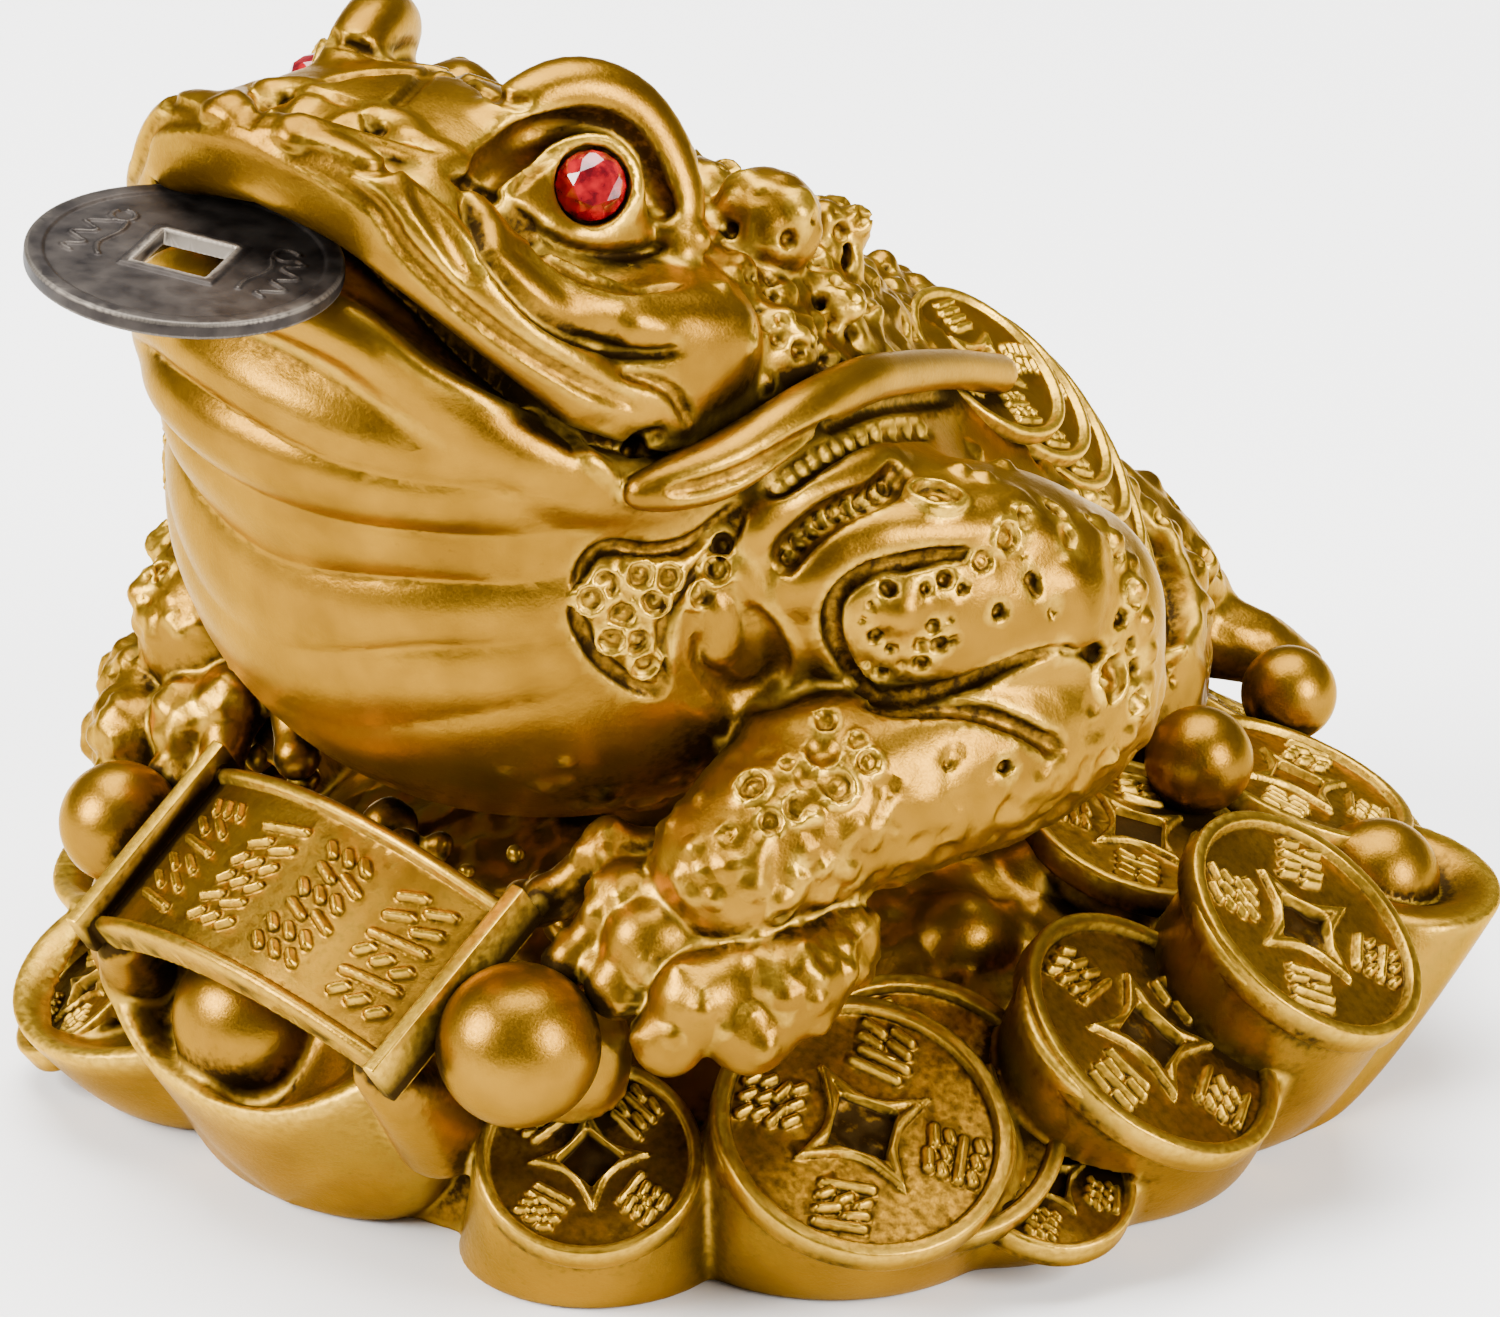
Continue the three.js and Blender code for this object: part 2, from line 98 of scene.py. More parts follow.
camera_data = bpy.data.cameras.new("camera")
camera_data.sensor_width = SENSOR
camera_data.lens = SENSOR * FOCAL_LENGTH_PX / PHOTO_SIZE_PX[0]
camera_data.clip_start = 0.05
camera = shown("camera", camera_data)
camera.location = AIM + outward * STAND_OFF
camera.rotation_euler = outward.to_track_quat("Z", "Y").to_euler()
bpy.context.scene.camera = camera

lamp("left_lamp", (-0.36, -0.66, 0.46), (0.42, 0.46), 22, (1, 0.98, 0.95))
lamp("right_lamp", (0.78, 0.05, 0.38), (0.36, 0.44), 17, (1, 0.98, 0.95))
lamp("top_lamp", (-0.12, 0.1, 0.78), (0.8, 0.7), 24, (1, 1, 1))
world = bpy.data.worlds.new("room")
world.use_nodes = True
wire(world.node_tree, world.node_tree.nodes["Background"], {"Color": (0.95, 0.97, 1, 1), "Strength": 0.22})
bpy.context.scene.world = world

board_material, tree, shader = finish("pale_board")
mottle = node(tree, "ShaderNodeTexNoise", {"Scale": 9})
shade = node(tree, "ShaderNodeMixRGB", {"Fac": mottle.outputs["Fac"], "Color1": (0.93, 0.93, 0.93, 1),
                                        "Color2": (0.96, 0.96, 0.96, 1)})
wire(tree, shader, {"Base Color": shade.outputs["Color"], "Roughness": 0.9})
BOARD_HALF = 3.0
board_mesh = bpy.data.meshes.new("board")
corners = [(-BOARD_HALF, -BOARD_HALF, 0), (BOARD_HALF, -BOARD_HALF, 0),
           (BOARD_HALF, BOARD_HALF, 0), (-BOARD_HALF, BOARD_HALF, 0)]
board_mesh.from_pydata(corners, [], [(0, 1, 2, 3)])
board_mesh.materials.append(board_material)
shown("board", board_mesh)


# The toad's trunk and head.
# The figure is one resin casting. Its master is modelled here as a modeller builds it, in clay: lumps
# are pressed together, worked over and cut. The clay is kept as the distance in mm to its skin.
CLAY_STEP = 0.3
FAR_OFF = 6.0


class Clay:
    """Clay on a grid of distances in mm to its skin, below zero inside it."""

    def __init__(self, low, high, step):
        self.low = np.array(low, float)
        self.step = step
        self.count = [int(math.ceil((b - a) / step)) + 1 for a, b in zip(low, high)]
        self.skin = np.full(self.count, FAR_OFF, np.float32)

    def block(self, low, high):
        """The cells between two corners, with the places of their planes along x, y and z."""
        cells, lines = [], []
        for i in range(3):
            first = max(0, int((low[i] - self.low[i]) / self.step))
            last = min(self.count[i], int((high[i] - self.low[i]) / self.step) + 2)
            cells.append(slice(first, max(first, last)))
            line = (self.low[i] + self.step * np.arange(first, max(first, last))).astype(np.float32)
            lines.append(line.reshape([-1 if j == i else 1 for j in range(3)]))
        return tuple(cells), lines

    def lines(self):
        """The places of all its planes along x, y and z."""
        return self.block(self.low, self.low + np.array(self.count) * self.step)[1]

    def gather(self, forms, reach):
        """The cells within reach of some forms, and the distance to the nearest form in each."""
        low = np.min([f[0] for f in forms], 0) - reach
        high = np.max([f[1] for f in forms], 0) + reach
        cells, lines = self.block(low, high)
        if len(forms) == 1:
            return cells, forms[0][2](*lines)
        found = np.full([c.stop - c.start for c in cells], FAR_OFF, np.float32)
        for form_low, form_high, depth in forms:
            inner, near = self.block(np.array(form_low) - reach, np.array(form_high) + reach)
            local = tuple(slice(a.start - b.start, a.stop - b.start) for a, b in zip(inner, cells))
            np.minimum(found[local], depth(*near), out=found[local])
        return cells, found

    def add(self, forms, blend=0.0, margin=3.0):
        cells, depth = self.gather(forms if isinstance(forms, list) else [forms], blend + margin)
        self.skin[cells] = melt(self.skin[cells], depth, blend)

    def cut(self, forms, blend=0.0, margin=2.0):
        cells, depth = self.gather(forms if isinstance(forms, list) else [forms], blend + margin)
        self.skin[cells] = -melt(-self.skin[cells], depth, blend)

    def raise_by(self, low, high, height):
        """Lifts the skin between two corners by a height in mm at each place."""
        cells, lines = self.block(low, high)
        self.skin[cells] -= height(*lines).astype(np.float32)

    def read(self, points):
        """The distance to the skin at each point."""
        spots = (np.asarray(points, float) - self.low) / self.step
        base = np.clip(np.floor(spots).astype(int), 0, np.array(self.count) - 2)
        part = np.clip(spots - base, 0, 1)
        total = np.zeros(len(base))
        for i in (0, 1):
            for j in (0, 1):
                for k in (0, 1):
                    share = (part[:, 0] if i else 1 - part[:, 0]) * (part[:, 1] if j else 1 - part[:, 1])
                    share = share * (part[:, 2] if k else 1 - part[:, 2])
                    total += share * self.skin[base[:, 0] + i, base[:, 1] + j, base[:, 2] + k]
        return total

    def outward(self, points, over=0.7):
        """The unit direction out of the skin near each point."""
        slope = np.stack([
            self.read(points + over * step) - self.read(points - over * step) for step in np.eye(3)
        ], 1)
        return slope / np.maximum(np.linalg.norm(slope, axis=1, keepdims=True), 1e-6)

    def rest(self, points):
        """The points drawn onto the skin."""
        points = np.array(points, float)
        for _ in range(8):
            points -= np.clip(self.read(points), -1.5, 1.5)[:, None] * self.outward(points)
        return points

    def seen(self, pixels):
        """The places of the skin that the camera sees at pixels of the photograph."""
        rightward = np.array((math.cos(bearing), math.sin(bearing), 0))
        away = -np.array(outward)
        upward = np.cross(rightward, away)
        offsets = (np.asarray(pixels, float) - np.array(PHOTO_SIZE_PX) / 2) / FOCAL_LENGTH_PX
        rays = away + offsets[:, :1] * rightward - offsets[:, 1:] * upward
        start = 1000 * np.array(AIM + outward * STAND_OFF)
        near, far, stride = 1000 * STAND_OFF - 90, 1000 * STAND_OFF + 90, 0.3
        reach = np.full(len(rays), far)
        open_still = np.ones(len(rays), bool)  # rays that have met no clay
        for way in np.arange(near, far, stride):
            hit = open_still & (self.read(start + way * rays) < 0)
            reach[hit] = way
            open_still &= ~hit
            if not open_still.any():
                break
        low, high = reach - stride, reach
        for _ in range(7):
            middle = (low + high) / 2
            inside = self.read(start + middle[:, None] * rays) < 0
            high = np.where(inside, middle, high)
            low = np.where(inside, low, middle)
        return (start + high[:, None] * rays)[~open_still]


def melt(a, b, blend):
    """The lower of two distances, with a soft join as wide as the blend."""
    if blend <= 0:
        return np.minimum(a, b)
    near = np.maximum(blend - np.abs(a - b), 0) / blend
    return np.minimum(a, b) - near * near * (blend / 4)


def lump(centre, radii, pitch=0.0, yaw=0.0):
    """An egg of clay. A positive pitch lifts its front, and a positive yaw turns its front towards +X."""
    tilt, turn = math.radians(-pitch), math.radians(yaw)
    lean = np.array([[1, 0, 0], [0, math.cos(tilt), -math.sin(tilt)], [0, math.sin(tilt), math.cos(tilt)]])
    swing = np.array([[math.cos(turn), -math.sin(turn), 0], [math.sin(turn), math.cos(turn), 0], [0, 0, 1]])
    back = (swing @ lean).T
    spread = np.sqrt(((swing @ lean) ** 2) @ (np.array(radii, float) ** 2))
    centre = np.array(centre, float)

    def depth(x, y, z):
        x, y, z = x - centre[0], y - centre[1], z - centre[2]
        first = second = 0
        for row, radius in zip(back, radii):
            along = (row[0] * x + row[1] * y + row[2] * z) / radius
            first = first + along * along
            second = second + (along / radius) ** 2
        first = np.sqrt(first)
        return first * (first - 1) / np.maximum(np.sqrt(second), 1e-5)

    return centre - spread, centre + spread, depth


def ball(centre, radius):
    centre = np.array(centre, float)

    def depth(x, y, z):
        return np.sqrt((x - centre[0]) ** 2 + (y - centre[1]) ** 2 + (z - centre[2]) ** 2) - radius

    return centre - radius, centre + radius, depth


def flow(stations, steps=5):
    """More stations on a smooth curve through the given ones."""
    stations = np.array(stations, float)
    if len(stations) < 3:
        return stations
    padded = np.vstack([2 * stations[0] - stations[1], stations, 2 * stations[-1] - stations[-2]])
    path = []
    for i in range(len(stations) - 1):
        a, b, c, d = padded[i:i + 4]
        for t in np.arange(steps) / steps:
            path.append(0.5 * (2 * b + (c - a) * t + (2 * a - 5 * b + 4 * c - d) * t * t
                               + (3 * b - a - 3 * c + d) * t ** 3))
    return np.array(path + [stations[-1]])


def roll(stations, steps=5):
    """A rounded roll of clay through stations of x, y, z and radius."""
    forms = []
    path = flow(stations, steps)
    for start, end in zip(path[:-1], path[1:]):
        def depth(x, y, z, a=start, b=end):
            line = b[:3] - a[:3]
            square = max(float(line @ line), 1e-9)
            x, y, z = x - a[0], y - a[1], z - a[2]
            way = np.clip((x * line[0] + y * line[1] + z * line[2]) / square, 0, 1)
            gap = (x - way * line[0]) ** 2 + (y - way * line[1]) ** 2 + (z - way * line[2]) ** 2
            return np.sqrt(gap) - (a[3] + way * (b[3] - a[3]))
        most = max(start[3], end[3])
        forms.append((np.minimum(start, end)[:3] - most, np.maximum(start, end)[:3] + most, depth))
    return forms


def across(forms):
    """The same forms on the toad's other side."""
    if isinstance(forms, list):
        return [across(form) for form in forms]
    (x0, y0, z0), (x1, y1, z1), depth = forms
    return (-x1, y0, z0), (-x0, y1, z1), lambda x, y, z: depth(-x, y, z)


def as_made(forms):
    return forms


SIDES = (as_made, across)


def grain(x, y, z, size, seed):
    """Smooth random bumps between about -1 and 1, a size in mm apart."""
    draw = np.random.default_rng(seed)
    weights = []
    for line in (x.ravel(), y.ravel(), z.ravel()):
        spot = line / size
        knot = np.floor(spot).astype(int)
        t = spot - knot
        knot -= knot[0]
        weight = np.zeros((len(line), knot[-1] + 4), np.float32)
        rows = np.arange(len(line))
        for shift, value in enumerate(((1 - t) ** 3 / 6, (3 * t ** 3 - 6 * t ** 2 + 4) / 6,
                                       (-3 * t ** 3 + 3 * t ** 2 + 3 * t + 1) / 6, t ** 3 / 6)):
            weight[rows, knot + shift] = value
        weights.append(weight)
    knots = draw.uniform(-2, 2, [w.shape[1] for w in weights]).astype(np.float32)
    for weight in weights:
        knots = np.tensordot(knots, weight, axes=(0, 1))
    return knots


clay = Clay((-45, -58, 4), (45, 54, 94.5), CLAY_STEP)

TRUNK_BLEND = 5.0
clay.add(lump((0, -22.5, 53.5), (28, 28, 24.6)))
clay.add(lump((0, 0, 40), (25, 36.5, 23), pitch=34), TRUNK_BLEND)
clay.add(lump((0, 24, 24), (21, 17, 17)), TRUNK_BLEND)
clay.add(lump((0, -30.5, 66), (23.8, 24, 16), pitch=6), 3)
clay.add(lump((0, -37.5, 81.5), (14.5, 15, 8), pitch=12), 4)
FLANK = [(24, -26, 59, 5.2), (25, -17, 56.6, 5.6), (22.4, -8, 51.4, 5.4), (17.4, 4, 44.6, 5.8),
         (14.2, 14, 41.2, 6.4), (12.6, 22, 35.4, 6.2)]
for side in SIDES:
    clay.add(side(roll(FLANK)), 3)

# Folds fan out over the throat from the corners of the mouth.
FOLD_AXIS = (-26.0, 65.0)
FOLD_ANGLE = math.radians(12.5)
FOLD_HEIGHT = 1.15


def throat_folds(x, y, z):
    forward, down = FOLD_AXIS[0] - y, FOLD_AXIS[1] - z
    angle = np.arctan2(down, forward)
    reach = np.sqrt(forward ** 2 + down ** 2)
    uneven = grain(x, y, z, 11, 31)
    wave = np.abs(np.sin(np.pi * (angle / FOLD_ANGLE + 0.35 + 0.35 * uneven)))
    fade = np.clip((1.05 - angle) / 0.7, 0, 1) * np.clip((angle + 0.35) / 0.2, 0, 1)
    side = np.clip((27 - np.abs(x)) / 14, 0, 1) * np.clip((reach - 5) / 12, 0, 1)
    return FOLD_HEIGHT * (0.75 + 0.5 * uneven) * (wave ** 0.7 - 0.7) * fade * side


clay.raise_by((-30, -56, 33), (30, -26, 78), throat_folds)


# The mouth arches over a wall that is half an ellipse in plan; a half angle runs to one corner.
MOUTH_HALF_WIDTH, MOUTH_DEPTH, MOUTH_MIDDLE = 24, 21, -33.5


def on_mouth(angle, height, inside, radius):
    turn = math.radians(angle)
    x = (MOUTH_HALF_WIDTH - inside) * math.sin(turn)
    return x, MOUTH_MIDDLE - (MOUTH_DEPTH - inside) * math.cos(turn), height, radius


# Lips as half angle, height and radius.
UPPER_LIP = [(0, 89.4, 2.3), (20, 88.2, 2.4), (34, 84.8, 2.4), (50, 79, 2.5), (68, 72.8, 2.4), (88, 68.2, 2)]
LOWER_LIP = [(0, 77.4, 2.4), (20, 76.2, 2.4), (36, 72.6, 2.4), (52, 68.2, 2.3), (70, 64.2, 2.2),
             (86, 62.8, 1.8)]
INNER_LIP = [(0, 86.8, 2.3), (20, 85.2, 2.3), (34, 81.8, 2.2), (50, 77, 2), (66, 72, 1.6)]
for lip, inset, blend in ((UPPER_LIP, 0, 2.0), (LOWER_LIP, 0, 2.0), (INNER_LIP, 0.3, 1.6)):
    both = [(-angle, height, radius) for angle, height, radius in lip[:0:-1]] + lip
    clay.add(roll([on_mouth(angle, height, radius + inset, radius) for angle, height, radius in both]), blend)

CHEEK_FOLD = [(9.5, -45.5, 86, 1.8), (15.5, -42.5, 80.8, 2), (20.6, -36.5, 76.6, 2.1), (23.2, -29.5, 74, 2)]
for side in SIDES:
    clay.add(side(roll(CHEEK_FOLD)), 1.4)
    clay.add(side(lump((19.5, -31, 72), (5.8, 7.4, 5.4))), 2.5)

# The gap between the lips as half angle, low, high and depth.
MOUTH_GAP = np.array([(0, 80.2, 84.4, 9), (16, 79.4, 83, 8), (32, 76.6, 79.6, 6.5), (48, 72.2, 74.8, 5),
                      (64, 68, 69.6, 3.5), (84, 65.6, 66.3, 2)])


def mouth_gap(x, y, z):
    u = np.abs(x) / MOUTH_HALF_WIDTH
    v = (MOUTH_MIDDLE - y) / MOUTH_DEPTH
    angle = np.degrees(np.arctan2(u, v))
    low, high, deep = (np.interp(angle, MOUTH_GAP[:, 0], MOUTH_GAP[:, i]) for i in (1, 2, 3))
    inside = (1 - np.sqrt(u * u + v * v)) * 22
    ends = (angle - 88) * 0.4
    return np.maximum(np.maximum(low - z, z - high), np.maximum(inside - deep, ends))


clay.cut(((-25, -58, 62), (25, -30, 90), mouth_gap), 0.8)


# Eyes: a ball in a socket under a heavy brow, with a round seat for the stone.
def unit(direction):
    return np.array(direction) / np.linalg.norm(direction)


EYE_BALL = ((11, -31, 81.4), (5.4, 6.2, 6.0))
BROW = [(6.0, -38.6, 84.4, 1.5), (7.6, -35.4, 87.6, 2.0), (9.4, -30.4, 88.9, 2.4), (11.8, -26.4, 86.6, 2.5),
        (14.9, -25.2, 81.6, 2.2), (17.2, -27.2, 77.6, 1.5)]
EYE_SEAT = np.array((13.05, -32.2, 83.16))
EYE_FACING = unit((0.722, -0.602, 0.341))
STONE_RADIUS, STONE_HEIGHT, STONE_GAP = 2.55, 2.6, 0.3
for side in SIDES:
    clay.add(side(lump(*EYE_BALL)), 1.2)
    clay.add(side(roll(BROW)), 1.3)

WARTS = [(15.2, -15.6, 75.4, 4.2), (7.6, -14.6, 74.8, 3.2), (20.6, -22, 69, 3.8), (4.2, -8, 71, 2.8),
         (11.4, -5, 69.6, 3.3), (5, 2, 66, 2.8), (18.6, -12.6, 68.6, 2.8), (17.6, -22.4, 73.6, 2.2)]
BIG_WART, BARE_REACH = WARTS[0][:3], 5.2
for x, y, z, radius in WARTS:
    for side in SIDES:
        clay.add(side(ball((x, y, z), radius)), 1.2)


def hoop(centre, axis, radius, thick):
    """A ring of clay about an axis."""
    centre, axis = np.array(centre, float), np.array(axis, float)
    spread = radius + thick

    def depth(x, y, z):
        x, y, z = x - centre[0], y - centre[1], z - centre[2]
        high = x * axis[0] + y * axis[1] + z * axis[2]
        wide = np.sqrt(np.maximum(x * x + y * y + z * z - high ** 2, 0))
        return np.sqrt((wide - radius) ** 2 + high ** 2) - thick

    return centre - spread, centre + spread, depth


# The tools that work the skin. A traced path lies on the skin under pixels of the photograph; what is
# worked on the side seen there is worked on the other side too.
def both_sides(points):
    return points, clay.rest(points * np.array((-1, 1, 1)))


def worked_spots(points, radius):
    """Each spot on either side that lies on the skin, with the direction out of it and its size."""
    radius = np.broadcast_to(radius, len(points))
    for spots in both_sides(points):
        touching = np.abs(clay.read(spots)) < 0.3
        yield from zip(spots[touching], clay.outward(spots[touching]), radius[touching])


def tapered(count, value, ends=0.45):
    way = np.linspace(0, 1, count)
    return value * (ends + (1 - ends) * np.clip(4 * way * (1 - way) * 2.2, 0, 1) ** 0.5)


def traced(pixels, radius, height):
    """Rolls along a path on either side, proud of the skin by a height or, below zero, let into it."""
    for path in both_sides(clay.seen(flow(pixels, 4))):
        radii, lift = tapered(len(path), radius), tapered(len(path), abs(height), 0.2)
        centres = path + clay.outward(path) * (lift - radii if height > 0 else radii - lift)[:, None]
        yield roll(np.c_[centres, radii], 1)


def groove(pixels, radius, deep, blend=0.3):
    for forms in traced(pixels, radius, -deep):
        clay.cut(forms, blend, 0.8)


def ridge(pixels, radius, proud, blend=0.8):
    for forms in traced(pixels, radius, proud):
        clay.add(forms, blend, 0.8)


def pits(points, radius, deep, blend=0.2):
    for spot, out, size in worked_spots(points, radius):
        clay.cut(ball(spot + out * size * (1 - deep), size), blend, 0.8)


def beads(points, radius, proud, blend=0.4):
    for spot, out, size in worked_spots(points, radius):
        clay.add(ball(spot - out * size * (1 - proud), size), blend, 0.8)


def eyelets(points, radius):
    """Rings pressed in with the end of a tube: a rim, a deep groove within it and a bead in the middle."""
    for spot, out, size in worked_spots(points, radius):
        clay.add(hoop(spot, out, 1.05 * size, 0.3 * size), 0.3, 0.8)
        clay.cut(hoop(spot + 0.05 * out, out, 0.66 * size, 0.36 * size), 0.1, 0.8)


def strewn(low, high, count, seed, where):
    """Random places on the skin between two corners, where a test of the place holds."""
    draw = np.random.default_rng(seed)
    spots = clay.rest(draw.uniform(low, high, (count, 3)))
    found = np.abs(clay.read(spots)) < 0.2
    found &= np.all((spots > np.array(low) - 1) & (spots < np.array(high) + 1), 1) & where(*spots.T)
    return spots[found]


# Grooves of the face, each a path in pixels with its radius and depth in mm.
FACE_GROOVES_PX = {
    "above_lip": ([(262, 138), (320, 168), (353, 188), (380, 210), (402, 245), (435, 280), (470, 312),
                   (515, 345), (560, 372), (600, 392), (640, 408)], 0.8, 0.7),
    "cheek_upper": ([(463, 192), (478, 235), (505, 275), (540, 312), (583, 337), (630, 350), (680, 352)],
                    0.9, 1.0),
    "cheek_lower": ([(490, 200), (523, 233), (560, 262), (600, 280), (640, 287), (680, 284)], 0.8, 0.8),
    "under_lid": ([(505, 200), (535, 228), (575, 247), (620, 254), (665, 247)], 0.6, 0.6),
    "mouth_end": ([(620, 372), (650, 380), (675, 395), (692, 425)], 0.6, 0.6),
    "nostril_fold": ([(300, 147), (340, 161), (373, 169), (405, 159), (424, 140)], 0.6, 0.6),
    "snout_plate": ([(240, 122), (262, 106), (290, 98), (320, 96), (348, 101), (368, 114)], 0.5, 0.5),
    "forehead_front": ([(437, 62), (420, 80), (400, 100), (380, 113)], 0.6, 0.6),
    "forehead_back": ([(452, 66), (475, 84), (505, 98), (530, 104)], 0.6, 0.7),
    "eye_socket": ([(478, 184), (492, 165), (515, 146), (545, 131), (575, 125), (605, 127), (630, 141),
                    (647, 165), (655, 190), (663, 214)], 1.6, 2.2),
    "eye_corner": ([(455, 178), (475, 186), (500, 198)], 0.7, 0.9),
    "upper_lid": ([(512, 196), (530, 172), (556, 153), (586, 145), (616, 150), (634, 170), (640, 195)],
                  0.45, 0.5),
}
LEAF_HOLLOW_PX = [(417, 190), (436, 218), (456, 248), (476, 277)]
FACE_RIDGES_PX = {
    "cheek": ([(472, 208), (490, 250), (525, 290), (570, 320), (620, 336), (670, 336)], 1.6, 0.55),
    "lower_lid": ([(545, 224), (570, 238), (610, 241), (650, 235), (680, 228)], 0.8, 0.5),
    "nostril_rim": ([(330, 128), (352, 118), (378, 113), (402, 119), (416, 134), (404, 150)], 0.9, 0.5),
    "lower_lip_edge": ([(340, 299), (373, 323), (417, 364), (473, 394), (540, 424), (590, 457), (622, 492)],
                       0.7, 0.5),
    "snout_front": ([(205, 112), (228, 100), (255, 88), (285, 88)], 1.0, 0.5),
}
NOSTRIL_PX = [(377, 131)]
for path in FACE_GROOVES_PX.values():
    groove(*path)
for path in FACE_RIDGES_PX.values():
    ridge(*path)
groove(LEAF_HOLLOW_PX, 1.5, 0.7)
pits(clay.seen(NOSTRIL_PX), 0.7, 1.2)


# The front legs and the single hind leg.
# Part of the same casting. Each front leg is folded back to the elbow and forward again to a hand with
# five toes; the right hand is set down further back and closer in. The hind leg ends in three toes.
def front_leg(closer=0.0, back=0.0):
    def set_down(stations, way=1.0):
        return [(x - closer * way, y + back * way, z, r) for x, y, z, r in stations]

    upper = roll([(20, -27, 55.5, 6.6), (28, -20, 53.2, 8.4), (31.6, -11.5, 49.8, 9.4), (32, -4, 45.4, 9)])
    lower = roll([(31.5, -4, 40.6, 9.4)] + set_down([(33.2, -12, 40.2, 9)], 0.4)
                 + set_down([(32.6, -20.5, 39.4, 8.0)], 0.7)
                 + set_down([(30.8, -29, 38.2, 7.2), (29.6, -35.2, 35.4, 6.1)]))
    toes = [
        [(25, -33, 33.6, 2.4), (20, -37.6, 34, 2.0), (16.4, -41, 30.6, 1.4)],
        [(26.5, -35, 33, 2.8), (23.6, -40, 32.6, 2.3), (21.6, -44, 28.4, 1.5)],
        [(28.5, -37.5, 31.5, 3.4), (26.6, -41, 30.4, 2.9), (25.6, -43.4, 27.4, 2.0)],
        [(33.5, -38.5, 28.8, 3.6), (31.8, -41.6, 27.6, 3.0), (30.6, -43.6, 24.8, 2.2)],
        [(34.4, -31, 29.4, 4.0), (35.4, -36, 28.2, 3.6), (34.8, -39.6, 25.6, 2.8)],
    ]
    knuckles = [ball((x, y, z + 0.35), 1.2 * radius) for toe in toes for x, y, z, radius in set_down(toe)[1:]]
    return upper, lower, [roll(set_down(toe)) for toe in toes] + knuckles


for side, place in zip(SIDES, ({}, {"closer": 3, "back": 5.5})):
    upper, lower, toes = front_leg(**place)
    clay.add(side(upper), 2.0)
    clay.add(side(lower), 1.2)
    for toe in toes:
        clay.add(side(toe), 0.7)
UNDER_ARM = [(23, -25, 44, 5), (27.5, -15, 43.5, 6), (28, -6, 42, 6)]
for side in SIDES:
    clay.add(side(roll(UNDER_ARM)), 2.0)

HIND_LEG = [(0, 30, 30, 8.6), (3, 38, 26, 7.4), (5, 43.5, 20.5, 5.2)]
clay.add(roll(HIND_LEG), 2.0)
for x in (-7, 1, 9):
    clay.add(roll([(4 + 0.3 * x, 42, 20.5, 3.4), (4 + 0.8 * x, 46, 19, 2.9), (4 + x, 49.4, 16.6, 2.1)]), 0.8)


# The hide.
# Warts, pressed rings and pits, worm marks and bordered panels worked into the nape, the shoulders, the
# elbows and the forearms; a leaf-shaped boss hangs before each shoulder.
CORD_HEIGHT, CORD_SLOPE, CORD_START = 68, 0.34, -24.5


def above_cord(y, z):
    return z - CORD_HEIGHT + CORD_SLOPE * (y - CORD_START)


def off_wart(x, y, z):
    return np.sqrt((np.abs(x) - BIG_WART[0]) ** 2 + (y - BIG_WART[1]) ** 2 + (z - BIG_WART[2]) ** 2)


def nape_grit(x, y, z):
    where = np.clip(above_cord(y, z) / 1.5, 0, 1) * np.clip((y + 24.5) / 2, 0, 1)
    where = where * np.clip((14 - y) / 5, 0, 1)
    bumps = 0.45 * grain(x, y, z, 2.4, 1) + 0.7 * np.abs(grain(x, y, z, 1.3, 2)) - 0.25
    return where * bumps * np.clip(off_wart(x, y, z) - BARE_REACH + 1.5, 0.15, 1)


clay.raise_by((-27, -25, 55), (27, 15, 84), nape_grit)
nape_spots = strewn((2, -23, 57), (25, 12, 82), 190, 3,
                    lambda x, y, z: (above_cord(y, z) > 1.2) & (off_wart(x, y, z) > BARE_REACH))
beads(nape_spots, np.linspace(0.5, 1.3, len(nape_spots)), 0.5)
NAPE_BEADS_PX = [(723, 287), (752, 345), (765, 383), (787, 318), (700, 240), (715, 175), (823, 215)]
NAPE_BEAD_SIZES = (0.8, 0.7, 1.1, 1.0, 1.3, 1.5, 1.5)
for place, size in zip(clay.seen(NAPE_BEADS_PX), NAPE_BEAD_SIZES):
    beads(place[None], size, 0.6)
NAPE_PITS_PX = [(768, 322), (779, 338), (757, 335), (887, 268), (870, 300), (915, 285), (845, 260),
                (820, 300), (905, 325), (850, 330), (800, 350), (730, 230), (790, 240)]
pits(clay.seen(NAPE_PITS_PX), 0.7, 1.2)
nape_pits = strewn((1, -23, 55), (26, 13, 82), 230, 21,
                   lambda x, y, z: (above_cord(y, z) > 0.8) & (off_wart(x, y, z) > BARE_REACH - 0.6))
pits(nape_pits, np.linspace(0.35, 0.75, len(nape_pits)), 1.2)


def back_grit(x, y, z):
    where = np.clip((y - 6) / 6, 0, 1) * np.clip((z - 18) / 6, 0, 1)
    return where * (0.4 * grain(x, y, z, 3.2, 8) + 0.45 * np.abs(grain(x, y, z, 1.6, 9)))


clay.raise_by((-27, 6, 18), (27, 56, 76), back_grit)
back_spots = strewn((1, 8, 26), (24, 46, 66), 150, 7, lambda x, y, z: above_cord(y, z) < 30)
beads(back_spots, np.linspace(0.7, 1.6, len(back_spots)), 0.5)
back_pits = strewn((1, 8, 22), (26, 48, 66), 140, 22, lambda x, y, z: x > 0.5)
pits(back_pits, np.linspace(0.4, 0.8, len(back_pits)), 1.0)

